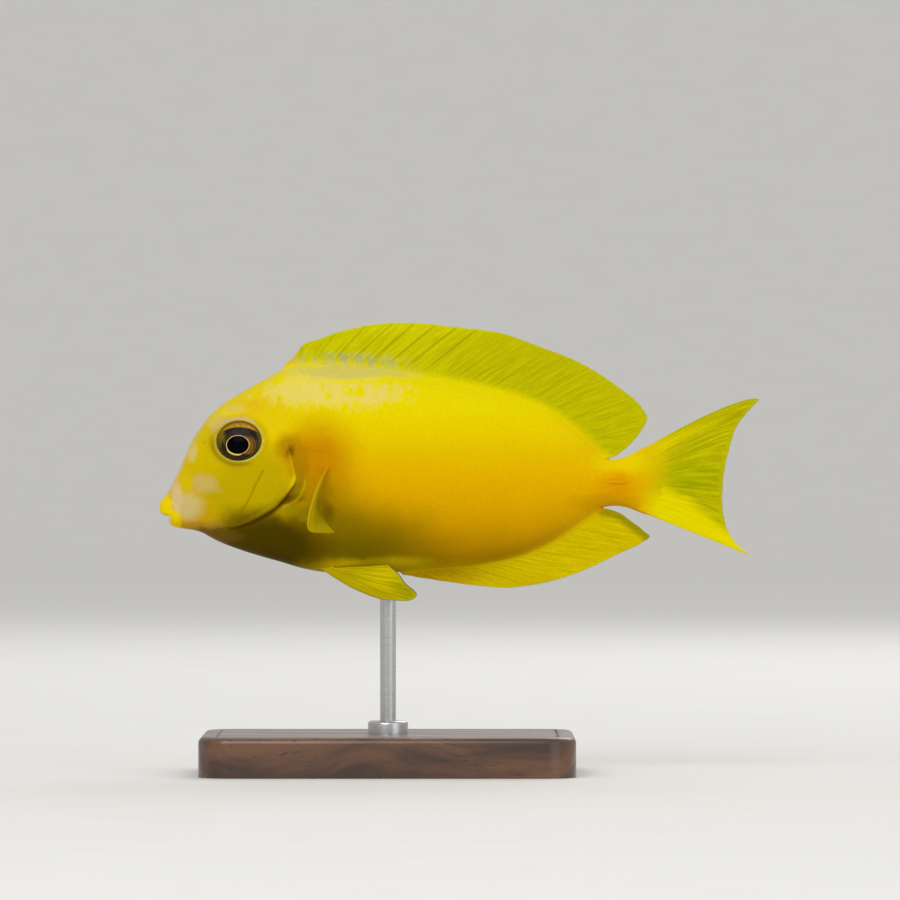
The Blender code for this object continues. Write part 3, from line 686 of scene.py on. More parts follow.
# %% Nostrils, lateral line and the sheath of the blade
NOSTRIL_DEPTH, NOSTRIL_RIM_LIFT = 0.12, 0.05
LATERAL_SHARE = 0.62  # of the back's height at which the lateral line runs
LATERAL_WIDTH, LATERAL_DEPTH = 0.12, 0.03
SHEATH_MARGINS = (0.15, 0.12)  # round the blade, along and up
SHEATH_DEPTH = 0.06

nostril = np.zeros(s_of.shape)
for (s, h), radius in NOSTRILS:
    apart = np.hypot(s_of - s, h_of - h)
    nostril = np.maximum(nostril, soft_step(apart, radius * 1.05, radius * 0.6))
    relief += NOSTRIL_RIM_LIFT * bell(apart, radius * 1.4, 0.1)
relief -= NOSTRIL_DEPTH * nostril

lateral = bell(h_of - LATERAL_SHARE * back(s_of), 0, LATERAL_WIDTH)
lateral *= soft_step(s_of, 21, 24) * soft_step(s_of, 66, 62)
relief -= LATERAL_DEPTH * lateral

blade_share = np.hypot(
    (s_of - SCALPEL_PLACE[0]) / (SCALPEL_RADII[0] + SHEATH_MARGINS[0]),
    (h_of - SCALPEL_PLACE[1]) / (SCALPEL_RADII[2] + SHEATH_MARGINS[1]),
)
relief -= SHEATH_DEPTH * soft_step(blade_share, 0.95, 0.5)
hide = hide + normals_of(hide) * relief[..., None]

# %% Orbits
ORBIT_LEVEL = 0.5  # of the hide round the eye, over the middle of the eyeball
SOCKET_DEPTH = 2.2
EYE_RIM_LIFT, ORBIT_RIM_LIFT = 0.07, 0.03  # of the sharp rim at the eyeball and the soft one round it
ORBIT_SHARE, ORBIT_DEPTH = 2.2, 3.0  # as far as the orbit reaches, across and out

eye_a, eye_u, eye_o, eye_share = in_eye(hide)
near_eye = (eye_share < ORBIT_SHARE) & (abs(eye_o) < ORBIT_DEPTH)
level = (ORBIT_LEVEL - eye_o) * soft_step(eye_share, 1.45, 1.0)
rim = EYE_RIM_LIFT * bell(eye_share, 0.995, 0.035) + ORBIT_RIM_LIFT * bell(eye_share, 1.25, 0.2)
socket = SOCKET_DEPTH * soft_step(eye_share, 0.96, 0.8)
move = np.where(near_eye, level + rim - socket, 0.0)
side = np.where(hide[..., 1] < 0, 1.0, -1.0)
hide = hide + move[..., None] * np.stack(
    [np.full(side.shape, eye_out[0]), side * eye_out[1], np.full(side.shape, eye_out[2])], axis=-1
)
seam = (hide[:, 0] + hide[:, -1]) / 2 * (1, 0, 1)
hide[:, 0] = hide[:, -1] = seam

# %% Marks for the paint, and the finished skin
BROW_TURN, UNDER_EYE_TURN = np.radians(106), np.radians(235)  # where they lie round the eye

turn_of_eye = np.arctan2(eye_u, eye_a)
over_eye = soft_step(np.cos(turn_of_eye - BROW_TURN), 0.45, 0.8)
shade_under_eye = soft_step(np.cos(turn_of_eye - UNDER_EYE_TURN), 0.1, 0.8)
before_eye = soft_step(-np.cos(turn_of_eye), 0.2, 0.95)
lip_border = from_mouth + 1.1 * bell(h_of, -4.4, 0.8)
# painted highlight along the edge of the gill cover and on the ridge behind the gill opening
lit_place = -0.25 - 0.3 * soft_step(h_of, -0.5, -2.6)
lit_width = 0.15 + 0.2 * bell(h_of, -0.2, 1.3)
lit_strength = (0.4 + 0.6 * bell(h_of, -0.2, 1.1)) * soft_step(h_of, -6.2, -4.2) * soft_step(h_of, 4.8, 3.6)
low_ridge = rear_ridge * soft_step(h_of, 0.9, -0.6)
marks = {
    "lips": soft_step(lip_border, 7.5, 6.6),
    # painted shade inside the mouth
    "mouth": soft_step(from_mouth, 3.4, 1.6),
    # painted shade in the gill opening, darker still in its lower pit
    "opening": opening,
    # painted shade in the crease behind the gill cover
    "crease": crease,
    # painted shade in the nostril pits
    "nostril": nostril,
    # painted shade in the groove across the cheek
    "cheek": cheek_groove,
    # painted shade under the overhanging edge of the gill cover
    "cover_edge_shade": bell(gill, -0.35, 0.5) * soft_step(h_of, -1.2, -3.2) * behind_jaw,
    # painted highlight
    "lit": np.maximum(bell(gill, lit_place, lit_width) * lit_strength, 0.45 * low_ridge),
    # painted shade in the lower pit of the gill opening
    "pit_shade": opening * soft_step(h_of, -1.6, -2.8),
    "roots": np.maximum(under_dorsal * soft_step(s_of, 55, 61), over_anal * soft_step(s_of, 47, 52)),
    # painted shade round the upper half of the eye socket
    "orbit": near_eye * soft_step(eye_share, 1.42, 1.0) * soft_step(np.sin(turn_of_eye), -0.9, 0.1),
    "rim": near_eye * bell(eye_share, 0.965, 0.03),
    "rim_rear": soft_step(np.cos(turn_of_eye), -0.5, 0.7),
    "brow": near_eye * bell(eye_share, 1.03 + 0.16 * before_eye, 0.08) * over_eye,
    # painted shadow below and in front of the eye
    "shade_under_eye": near_eye * bell(eye_share, 1.12, 0.12) * shade_under_eye,
    # painted shade along the top of the head
    "forehead_shade": bell(from_back, 0, 1.8) * soft_step(s_of, 4.0, 8.0) * soft_step(s_of, 20.0, 17.0),
    "ridge": bell(from_back, 0, 0.95) * soft_step(s_of, 1.0, 2.2) * soft_step(s_of, 9.0, 5.2),
    "sheath": bell(blade_share, 1.0, 0.16),
}
skin = rolled_sheet("skin", hide, marks)
print("skin box, mm:", [round(value * 1000, 2) for value in (*skin.bound_box[0], *skin.bound_box[6])])

# %% [markdown]
# ## The colours of the flesh
#
# The young of this species are bright yellow all over, and here the yellow runs from lemon on the back
# through orange on the flank to a dull olive under the throat, with pinkish white dust on the snout and
# the back. The olive of the belly and the dark throat are partly painted shade, some patches are painted
# shade and shadow round the pectoral fin, and the lowest edge of the belly is lifted with painted light.
# A painter would lay soft patches over a ground, wet in wet. One small node group makes such a patch, an
# oval in the side view with a torn edge, and a second group lays all of them in order, with the broken
# white of the back last. The fins wear the same group at their roots, so that no border shows where they
# leave the body.

# %% A soft patch as a node group
patch_group, patch_in, patch_out = new_group(
    "soft_patch",
    [
        ("Place", "Vector", None),
        ("Centre", "Vector", None),
        ("Size", "Vector", (1.0, 1.0, 1.0)),
        ("Softness", "Float", 0.5),
        ("Torn", "Float", 0.0),
        ("Noise", "Float", 0.5),
        ("Strength", "Float", 1.0),
    ],
    [("Mask", "Float")],
)
place, centre, size = (patch_in.outputs[label] for label in ("Place", "Centre", "Size"))
apart = vector_maths(patch_group, "SUBTRACT", place, centre)
scaled = vector_maths(patch_group, "DIVIDE", apart, size)
length = add(patch_group, "ShaderNodeVectorMath", {0: scaled}, operation="LENGTH").outputs["Value"]
centred = maths(patch_group, "SUBTRACT", patch_in.outputs["Noise"], 0.5)
torn = maths(patch_group, "MULTIPLY_ADD", centred, patch_in.outputs["Torn"], length)
inner = maths(patch_group, "SUBTRACT", 1.0, patch_in.outputs["Softness"])
outer = maths(patch_group, "ADD", 1.0, patch_in.outputs["Softness"])
mask = ramp(patch_group, torn, inner, outer, 1.0, 0.0)
strong = maths(patch_group, "MULTIPLY", mask, patch_in.outputs["Strength"])
patch_group.links.new(strong, patch_out.inputs["Mask"])
print("node group", patch_group.name)

# %% Colours of the flesh
# darker towards the belly, partly painted shade; the lowest stop is lighter again, painted light against the
# shade under the belly
FLESH_GROUND = (  # height over the body axis and colour there
    (-14.0, paint(190, 158, 3)),
    (-11.5, paint(182, 134, 2)),
    (-9.0, paint(193, 142, 2)),
    (-6.5, paint(209, 156, 0)),
    (-3.5, paint(220, 166, 0)),
    (0.5, paint(227, 175, 0)),
    (4.0, paint(226, 187, 0)),
    (7.5, paint(229, 201, 0)),
    (11.0, paint(229, 210, 0)),
    (17.0, paint(228, 212, 6)),
)
GROUND_LOW, GROUND_HIGH = -14.0, 17.0
FLESH_PATCHES = (  # centre, size, softness, how torn, colour, strength
    ((24.0, 3.5), (4.6, 4.6), 0.8, 0.15, paint(198, 134, 0), 1.0),  # orange shoulder
    # painted shade behind and below the pectoral fin, here and in the next patch
    ((25.2, -3.0), (4.8, 3.2), 0.7, 0.2, paint(181, 140, 2), 0.9),
    ((26.2, -5.6), (3.6, 1.8), 0.7, 0.2, paint(152, 122, 3), 0.6),
    # olive belly, partly the fish's own colour and partly painted shade under the body
    ((30.0, -10.2), (9.3, 5.0), 0.9, 0.1, paint(116, 98, 1), 1.0),  # olive belly
    # lighter lower edge of the belly: painted light that lifts the shade under the body
    ((32.5, -13.4), (10.5, 1.5), 0.7, 0.3, paint(202, 176, 4), 1.0),
    # painted shadow of the pectoral fin on the flank
    ((24.9, -4.9), (0.9, 1.5), 0.7, 0.2, paint(116, 90, 3), 0.75),  # behind the pectoral fin
    ((12.6, -0.8), (7.6, 7.0), 0.4, 0.25, paint(189, 165, 2), 0.95),  # greenish cheek
    # painted shade under the cheek, running into the dark throat
    ((14.4, -6.3), (4.6, 2.2), 0.6, 0.2, paint(108, 88, 3), 0.9),
    ((7.3, 4.6), (3.6, 4.6), 0.5, 0.3, paint(203, 178, 4), 0.8),
    ((6.6, -6.7), (2.6, 0.8), 0.6, 0.3, paint(180, 138, 40), 0.8),  # chin
    ((7.2, -7.8), (2.8, 0.8), 0.6, 0.3, paint(122, 90, 30), 0.85),
    ((21.8, -6.0), (2.2, 1.4), 0.7, 0.4, paint(136, 114, 3), 0.9),
    # dark throat: partly the fish's own olive, partly painted shade under the head
    ((15.8, -9.8), (9.0, 4.1), 0.42, 0.2, paint(75, 60, 0), 1.0),  # dark throat
    ((22.3, -5.9), (1.2, 0.8), 0.6, 0.3, paint(158, 131, 3), 0.8),
    ((9.8, -8.6), (2.6, 0.9), 0.6, 0.3, paint(110, 82, 22), 0.7),
    ((21.2, 1.9), (1.3, 3.0), 0.6, 0.3, paint(170, 124, 4), 0.85),  # brown behind the gill cover
    # painted shade inside the gill opening
    ((20.8, -2.2), (1.3, 1.6), 0.6, 0.3, paint(150, 124, 3), 0.9),
    ((22.6, 4.3), (2.2, 0.3), 0.8, 0.2, paint(188, 118, 0), 0.35),
    ((19.6, 5.1), (1.7, 1.9), 0.6, 0.5, paint(172, 122, 4), 0.8),  # dark spot over the gill opening
    ((19.95, 4.3), (0.6, 0.75), 0.8, 1.0, paint(112, 70, 6), 0.85),
    ((20.0, -4.5), (1.7, 0.75), 0.6, 0.7, paint(158, 140, 4), 0.9),
    ((21.6, -2.8), (0.6, 0.5), 0.7, 1.0, paint(112, 96, 5), 0.7),
    ((16.2, 10.4), (4.4, 3.2), 0.7, 0.4, paint(220, 191, 10), 0.75),
    ((13.6, 11.2), (2.4, 1.1), 0.7, 0.5, paint(224, 184, 20), 0.85),  # nape
    ((11.2, 10.9), (1.4, 0.6), 0.6, 0.8, paint(218, 190, 90), 0.7),
    ((9.3, 9.3), (1.1, 0.8), 0.6, 0.6, paint(212, 188, 84), 0.75),
    ((8.0, 8.4), (0.6, 0.8), 0.6, 0.6, paint(210, 188, 100), 0.8),
    ((5.0, 4.2), (0.5, 1.2), 0.7, 0.4, paint(212, 192, 116), 0.8),
    ((6.9, -0.8), (1.7, 1.4), 0.45, 0.6, paint(201, 175, 94), 0.9),  # pinkish patches of the snout
    ((8.6, -1.8), (1.0, 0.5), 0.6, 0.6, paint(194, 170, 76), 0.5),
    ((4.3, -3.9), (2.2, 1.8), 0.45, 0.4, paint(207, 185, 116), 0.95),
    ((2.7, -2.4), (0.8, 2.2), 0.5, 0.3, paint(212, 190, 136), 0.9),
    ((4.1, -0.2), (1.0, 1.9), 0.5, 0.5, paint(210, 187, 8), 0.85),
    ((69.6, 3.0), (4.6, 1.5), 0.5, 0.3, paint(227, 204, 2), 0.85),  # tail stalk
    ((68.6, -0.9), (3.2, 1.9), 0.6, 0.3, paint(221, 156, 0), 0.85),
    ((69.2, -1.5), (0.9, 0.8), 0.7, 0.4, paint(222, 146, 0), 0.6),
    ((69.4, 0.7), (0.7, 0.7), 0.8, 0.4, paint(224, 152, 0), 0.5),
    ((66.5, -3.5), (5.0, 1.3), 0.6, 0.3, paint(198, 143, 0), 0.6),
    ((93.0, 0.0), (19.4, 40.0), 0.13, 0.1, paint(211, 187, 1), 1.0),  # root of the tail fin
    ((93.0, 2.4), (16.6, 30.0), 0.1, 0.1, paint(184, 179, 3), 0.95),
    ((80.0, 0.5), (4.6, 2.8), 0.6, 0.3, paint(170, 172, 2), 0.8),
    ((76.4, -3.9), (3.0, 1.7), 0.8, 0.1, paint(226, 206, 0), 1.0),  # bright start of the lower lobe
)
WHITE_BACK = ((26.5, 13.3), (11.0, 2.7), 0.45)  # centre, size and softness of the broken white
WHITE_NAPE = ((20.6, 13.2), (4.4, 2.6), 0.6)  # where it covers most
WHITE_RIDGE = ((28.5, 16.3), (9.5, 0.9), 0.6)
YELLOW_LINE = ((33.0, 14.72), (10.4, 0.3), 0.6)
BLOTCH_LONG, BLOTCH_HIGH = 0.8, 1.25  # typical sizes of a blotch, in millimetres
WARP = 0.6  # how far the borders of the patches wander, in millimetres
SIDE_VIEW = (1.0, 0.0, 1.0)  # keeps the distance and the height of a place
BACK_TORN = 0.8  # how torn the edges of the white are
WHITE_STRENGTH = 0.85
print("patches of colour:", len(FLESH_PATCHES))

# %% The flesh as a node group
flesh_group, flesh_in, flesh_out = new_group(
    "flesh_colours",
    [("Place", "Vector", None)],
    [("Color", "Color"), ("Fine", "Float"), ("Blotch", "Float"), ("Millimetres", "Vector")],
)


def patch_mask(place, centre, size, softness, torn_by=0.0, torn_noise=0.5, strength=1.0, tree=flesh_group):
    """How much of a soft patch covers a place."""
    values = {"Place": place, "Centre": (centre[0], 0.0, centre[1]), "Size": (size[0], 1.0, size[1])}
    values |= {"Softness": softness, "Torn": torn_by, "Noise": torn_noise, "Strength": strength}
    return use_group(tree, patch_group, values).outputs["Mask"]


to_millimetres = (1 / MM,) * 3
from_snout = (TOTAL_LENGTH / 2, 0.0, -AXIS_HEIGHT)
in_mm = vector_maths(flesh_group, "MULTIPLY_ADD", flesh_in.outputs["Place"], to_millimetres, from_snout)
coarse = noise(flesh_group, in_mm, 0.22, 3.0, 0.5, "Color")
medium = noise(flesh_group, in_mm, 0.75, 4.0, 0.6)
fine = noise(flesh_group, in_mm, 2.6, 4.0, 0.6)
wander = vector_maths(flesh_group, "SUBTRACT", coarse, (0.5, 0.5, 0.5))
warped = vector_maths(flesh_group, "MULTIPLY_ADD", wander, (4 * WARP, 0.0, 4 * WARP), in_mm)
flattened = vector_maths(flesh_group, "MULTIPLY", warped, SIDE_VIEW)
height = add(flesh_group, "ShaderNodeSeparateXYZ", {0: warped}).outputs["Z"]
level = {"Value": height, "From Min": GROUND_LOW, "From Max": GROUND_HIGH}
level = add(flesh_group, "ShaderNodeMapRange", level).outputs[0]
ground = add(flesh_group, "ShaderNodeValToRGB", {"Fac": level})
stops = ground.color_ramp.elements
while len(stops) < len(FLESH_GROUND):
    stops.new(0.5)
for stop, (level, colour) in zip(stops, FLESH_GROUND):
    stop.position = (level - GROUND_LOW) / (GROUND_HIGH - GROUND_LOW)
    stop.color = colour
colour = ground.outputs["Color"]
for centre, size, softness, torn_by, tint, strength in FLESH_PATCHES:
    mask = patch_mask(flattened, centre, size, softness, torn_by, medium, strength)
    colour = mix(flesh_group, mask, colour, tint)

blotch_place = vector_maths(flesh_group, "MULTIPLY", in_mm, (0.7 / BLOTCH_LONG, 0.7, 0.7 / BLOTCH_HIGH))
blotches = noise(flesh_group, blotch_place, 1.0, 3.0, 0.55)
cover = patch_mask(flattened, *WHITE_BACK, BACK_TORN, medium)
nape = patch_mask(flattened, *WHITE_NAPE, BACK_TORN, medium)
from_level = maths(flesh_group, "MULTIPLY_ADD", cover, -0.2, 0.54)
from_level = maths(flesh_group, "MULTIPLY_ADD", nape, -0.1, from_level)
to_level = maths(flesh_group, "ADD", from_level, 0.2)
broken = maths(flesh_group, "MULTIPLY", ramp(flesh_group, blotches, from_level, to_level), cover)
broken = maths(flesh_group, "MULTIPLY", broken, WHITE_STRENGTH)
colour = mix(flesh_group, broken, colour, paint(227, 207, 104))
ridge_mask = patch_mask(flattened, *WHITE_RIDGE, BACK_TORN, medium, WHITE_STRENGTH)
colour = mix(flesh_group, ridge_mask, colour, paint(205, 193, 102))
unwarped = vector_maths(flesh_group, "MULTIPLY", in_mm, SIDE_VIEW)
line_mask = patch_mask(unwarped, *YELLOW_LINE, BACK_TORN, medium, WHITE_STRENGTH)
colour = mix(flesh_group, line_mask, colour, paint(227, 213, 3))
flesh_group.links.new(colour, flesh_out.inputs["Color"])
flesh_group.links.new(fine, flesh_out.inputs["Fine"])
flesh_group.links.new(blotches, flesh_out.inputs["Blotch"])
flesh_group.links.new(in_mm, flesh_out.inputs["Millimetres"])
print("nodes in the flesh group:", len(flesh_group.nodes))

# %% [markdown]
# The material of the skin starts from the flesh colours. The marks that the skin carries then tell it
# where the lips, the slits, the bright edges and the rings round the eyes are. Of these, painted shade
# darkens the mouth, the gill opening, the creases, the nostrils, the top of the forehead and the skin over
# and under the eyes, and a painted highlight brightens the edge of the gill cover. This fish has scales
# too small to tell apart at arm's length, so they are a fine bump, cells a third of a millimetre across,
# and they give the hide its satin look.

# %% Material of the skin
SCALE_SIZE = 0.34
SCALE_LENGTH = 0.8  # below 1 the scales are longer than they are high
FLESH_GLOSS = 0.09  # how strongly skin and fins mirror
WARM_SHEEN = paint(255, 228, 70)
RELIEF_DEPTH = 0.03  # of the fine bumps of skin, eyes and blades, in millimetres
FIN_RELIEF_DEPTH = 0.04
MARK_COLOURS = (
    # painted shade along the top of the head
    ("forehead_shade", paint(202, 178, 40), 0.5),
    ("ridge", paint(214, 194, 148), 0.85),
    ("lips", paint(233, 204, 3), 0.95),
    # painted shade in the groove of the cheek
    ("cheek", paint(132, 118, 3), 0.7),
    # painted shade in the gill opening and its pit
    ("opening", paint(158, 132, 5), 0.9),
    ("pit_shade", paint(112, 80, 4), 0.9),
    # painted shade under the edge of the gill cover
    ("cover_edge_shade", paint(120, 98, 4), 0.75),
    # painted shade in the crease
    ("crease", paint(96, 64, 4), 0.9),
    # painted shade in the nostrils
    ("nostril", paint(176, 148, 8), 0.4),
    # painted shade inside the mouth
    ("mouth", paint(60, 30, 12), 0.9),
    ("sheath", paint(216, 146, 0), 0.2),
    # painted highlight on the edge of the gill cover and the ridge behind it
    ("lit", paint(222, 209, 6), 0.9),
    # painted shade over the eye
    ("orbit", paint(190, 158, 6), 0.6),
    # painted shadow under the eye
    ("shade_under_eye", paint(128, 102, 8), 0.7),
    ("roots", paint(203, 186, 3), 0.6),
    ("brow", paint(204, 175, 132), 1.0),
)

skin_finish, tree, shader = new_material("skin")
place = add(tree, "ShaderNodeTexCoord").outputs["Object"]
flesh = use_group(tree, flesh_group, {"Place": place})
colour = flesh.outputs["Color"]
for name, tint, strength in MARK_COLOURS:
    colour = mix(tree, maths(tree, "MULTIPLY", mark(tree, name), strength), colour, tint)
rim_tint = mix(tree, mark(tree, "rim_rear"), paint(182, 162, 70), paint(222, 213, 106))
colour = mix(tree, maths(tree, "MULTIPLY", mark(tree, "rim"), 0.85), colour, rim_tint)
stretched = (SCALE_LENGTH / SCALE_SIZE, 1 / SCALE_SIZE, 1 / SCALE_SIZE)
cells = vector_maths(tree, "MULTIPLY", flesh.outputs["Millimetres"], stretched)
scales = add(tree, "ShaderNodeTexVoronoi", {"Vector": cells, "Scale": 1.0}, feature="F1").outputs["Distance"]
shade = ramp(tree, flesh.outputs["Fine"], 0.25, 0.75, 0.965, 1.035)
shade = maths(tree, "MULTIPLY", shade, ramp(tree, scales, 0.1, 0.8, 1.0, 0.97))
colour = mix(tree, 1.0, colour, as_grey(tree, shade), "MULTIPLY")
tree.links.new(colour, shader.inputs["Base Color"])
tree.links.new(ramp(tree, flesh.outputs["Fine"], 0.2, 0.8, 0.38, 0.5), shader.inputs["Roughness"])
relief_height = maths(tree, "MULTIPLY_ADD", flesh.outputs["Fine"], 0.4, scales)
raise_surface(tree, shader, relief_height, 0.2, RELIEF_DEPTH, invert=True)
set_values(shader, Specular_IOR_Level=FLESH_GLOSS, Specular_Tint=WARM_SHEEN)
dress(skin, skin_finish, "skin", "head", "torso", "tail_stalk")

# %% [markdown]
# ## The fins
#
# A fin is a thin web on a fan of rays. The real one has stiff spines in front and soft rays behind that
# split towards the edge. Each fin is a rolled sheet again: its mid surface is a rule that says where a
# point at a share across and a way along the rays lies, and its thickness swells over every ray, over
# the fleshy base, and thins out at the edges. The root is sunk in the body, so no gap shows.

# %% A fin from its rays
FIN_SINK = 1.1  # of a root under the hide
WEB_HALF, WEB_EDGE_HALF = 0.13, 0.07
WAYS = np.concatenate([np.linspace(0, 0.9, 40), (0.925, 0.945, 0.962, 0.976, 0.987, 0.995, 1.0)])
SPINE_STEPS = (0.0, 0.02, 0.045, 0.07, 0.1, 0.15, 0.3, 0.5, 0.7, 0.85, 0.9, 0.93, 0.955, 0.98)
SOFT_STEPS = tuple(np.arange(16) / 16)
SPLIT_SHARE = 0.2  # of the spacing between two rays, by which the branches of a soft ray part
REAR_BORDER = 1.7  # how wide the border of its own colour is
RIPPLE_TURN, RIPPLE_START = 14.49, 0.7  # of the wave from the front of a fin to its back, in radians


def rounded(distance, reach):
    """Half the thickness of an edge that is rounded over a reach, as a share."""
    return np.sqrt(1 - (1 - np.clip(distance / reach, 0, 1)) ** 2)


def fin_sheet(name, point, rays, spines, sizes, wave=0.0, bright=None, rear_edge=None):
    """A fin over its rays' shares, where point gives its mid surface and sizes its thicknesses.

    bright tells how far a bright band covers the web, from the share across and the way along. rear_edge
    is the part of the outline that has a border of its own colour.
    """
    shares = []
    owner = []
    steps_in = []
    for k in range(len(rays) - 1):
        steps = SPINE_STEPS if k < spines else SOFT_STEPS
        shares += [rays[k] + (rays[k + 1] - rays[k]) * step for step in steps]
        owner += [k] * len(steps)
        steps_in += steps
    shares.append(rays[-1])
    owner.append(len(rays) - 2)
    steps_in.append(1.0)
    shares, owner, steps_in = np.array(shares), np.array(owner), np.array(steps_in)

    def full_length(share):
        return np.linalg.norm(point(share, 1.0) - point(share, 0.0), axis=-1)

    start = -sizes["sink"] / full_length(shares)
    dip = sizes["dip"] * np.where(owner < spines, 1, 0.3) * 4 * steps_in * (1 - steps_in)
    end = 1 - dip / full_length(shares)
    v = start[:, None] + (end - start)[:, None] * WAYS
    middle = point(shares[:, None], v)
    along = v * full_length(shares)[:, None]

    near = point(rays[owner][:, None], v)
    far = point(rays[owner + 1][:, None], v)
    run = np.gradient(near, axis=1)
    run /= np.linalg.norm(run, axis=2)[..., None]
    across = far - near
    spacing = np.linalg.norm(across - run * (across * run).sum(axis=2)[..., None], axis=2)
    split = SPLIT_SHARE * spacing * soft_step(v, 0.1, 0.6)
    bare_reach = np.where(owner < spines, sizes["spine_reach"], sizes["bare_reach"])[:, None]
    emerge = soft_step(along, 0.3, bare_reach)
    if rear_edge is None:
        rear_strip = np.zeros(v.shape)
    else:
        flat = middle[..., [0, 2]].reshape(-1, 2)
        border = along_curve(rear_edge, np.linspace(0, 1, 24))
        rear_strip = soft_step(abs(offset_from(flat, border)[0]), REAR_BORDER, 0.5).reshape(v.shape)
    ray = np.zeros(v.shape)
    swell = np.zeros(v.shape)
    for place, index in ((steps_in, owner), (1 - steps_in, owner + 1)):
        stiff = (index < spines)[:, None]
        away = abs(place[:, None] * spacing - np.where(stiff, 0, split))
        width = np.where(stiff, sizes["spine_width"], sizes["ray_width"]) * (1 - 0.5 * v)
        high = np.where(stiff, sizes["spine_half"], sizes["ray_half"]) * (1 - 0.7 * np.clip(v, 0, 1))
        uneven = np.where(stiff, 1, 0.75 + 0.25 * np.sin(2.4 * index[:, None] + 1))
        profile = uneven * emerge * np.clip(1 - (away / width) ** 2, 0, 1) ** 1.5
        ray = np.maximum(ray, profile)
        swell = np.maximum(swell, profile * high)
    web = np.interp(v, (0, 0.8, 1), (WEB_HALF, WEB_HALF, WEB_EDGE_HALF))
    flesh_share = np.exp(-np.clip(along, 0, None) / sizes["flesh_reach"])
    half = web + swell + sizes["flesh_half"] * flesh_share
    to_tip = (end[:, None] - v) * full_length(shares)[:, None]
    lead = np.linalg.norm(middle - middle[:1], axis=2)
    trail = np.linalg.norm(middle - middle[-1:], axis=2)
    half *= rounded(lead, 0.3) * rounded(trail, 0.2) * rounded(to_tip, 0.15)
    half *= rounded(along + sizes["sink"], 0.4)

    normals = np.cross(np.gradient(middle, axis=0), np.gradient(middle, axis=1))
    normals /= np.linalg.norm(normals, axis=2)[..., None]
    turns = RIPPLE_START + RIPPLE_TURN * np.arange(len(shares))[:, None] / len(shares)
    ripple = wave * np.clip(v, 0, 1) ** 2 * np.sin(turns)
    middle = middle + normals * ripple[..., None]
    one_face = middle + normals * half[..., None]
    other_face = (middle - normals * half[..., None])[:, ::-1]
    points = np.concatenate([one_face, other_face], axis=1)
    both = {
        "ray": ray,
        "stiff": np.repeat((owner < spines)[:, None].astype(float), len(WAYS), axis=1),
        "along": along,
        "edge": np.minimum(to_tip, 5.0),
        "bright": np.zeros(v.shape) if bright is None else bright(shares[:, None], v),
        "across": np.repeat((owner + steps_in)[:, None], len(WAYS), axis=1),
        "way": v,
        "trailing": rear_strip,
    }
    fan = soft_step(along, 0.5, 1.4 * sizes["bare_reach"]) * soft_step(to_tip, 0.1, 1.2)
    both["fan"] = fan * (1 - both["bright"])
    marks = {key: np.concatenate([value, value[:, ::-1]], axis=1) for key, value in both.items()}
    return rolled_sheet(name, points, marks)


# %% [markdown]
# The dorsal and the anal fin grow from the middle line of the back and the belly. Their rays lean back,
# the front ones most, and a curve gives for each root the place of its tip on the fin's outline.

# %% Dorsal and anal fin
DORSAL_ROOT = (18.1, 67.3)
DORSAL_EDGE = (
    (18.9, 17.3),
    (20.4, 18.85),
    (21.6, 20.4),
    (24.2, 21.35),
    (26.6, 22.2),
    (31.2, 23.3),
    (36.0, 23.7),
    (44.7, 23.05),
    (51.1, 22.15),
    (57.1, 20.05),
    (63.1, 17.65),
    (69.1, 13.85),
    (72.1, 11.3),
    (73.25, 9.2),
    (72.3, 7.4),
    (70.5, 5.2),
    (68.7, 3.75),
)
DORSAL_RAKE = (
    (0.0, 0.0),
    (0.042, 0.061),
    (0.09, 0.138),
    (0.14, 0.208),
    (0.3, 0.362),
    (0.469, 0.501),
    (0.814, 0.779),
    (1.0, 1.0),
)
DORSAL_SPREAD = 1.72  # how much wider apart than soft rays the spines stand
DORSAL_SPINES, DORSAL_RAYS = 9, 24
ANAL_ROOT = (35.9, 66.4)
ANAL_EDGE = (
    (36.6, -14.25),
    (40.0, -14.8),
    (44.0, -15.4),
    (48.0, -15.9),
    (52.5, -16.15),
    (57.0, -15.6),
    (63.0, -13.85),
    (69.0, -11.05),
    (72.6, -9.3),
    (73.6, -8.5),
    (72.7, -7.6),
    (70.6, -6.0),
    (69.1, -4.95),
    (67.9, -4.5),
)
ANAL_RAKE = ((0.0, 0.0), (0.19, 0.295), (0.427, 0.497), (0.645, 0.679), (0.921, 0.9), (1.0, 1.0))
ANAL_SPINES, ANAL_RAYS = 3, 23
ANAL_SPREAD = 1.05
SPINE_CROWDING = 1.1  # above 1 the spines crowd towards the front
MEDIAN_SIZES = {
    "sink": FIN_SINK,
    "dip": 0.16,  # of the edge between two spines
    "spine_width": 0.26,
    "ray_width": 0.17,
    "spine_half": 0.2,
    "ray_half": 0.06,
    "bare_reach": 2.2,  # of the ray that has fully emerged from the fleshy base
    "spine_reach": 4.6,
    "flesh_reach": 1.4,
    "flesh_half": 0.46,
}


def median_rays(spines, rays, spread):
    """Where spines and soft rays stand, as shares of the root."""
    spiny = spines / (spines + rays) * spread
    spine_shares = spiny * (np.arange(spines) / spines) ** SPINE_CROWDING
    return np.concatenate([spine_shares, np.linspace(spiny, 1, rays)])


def median_point(root, edge, rake, curve):
    """The mid surface of a fin on the middle line."""

    def point(share, v):
        share, v = np.broadcast_arrays(np.asarray(share, float), np.asarray(v, float))
        s = root[0] + (root[1] - root[0]) * share
        foot = np.stack([s, curve(s)], axis=-1)
        tip = along_curve(edge, smooth(rake, share))
        side_view = foot + (tip - foot) * v[..., None]
        return np.stack([side_view[..., 0], np.zeros(share.shape), side_view[..., 1]], axis=-1)

    return point


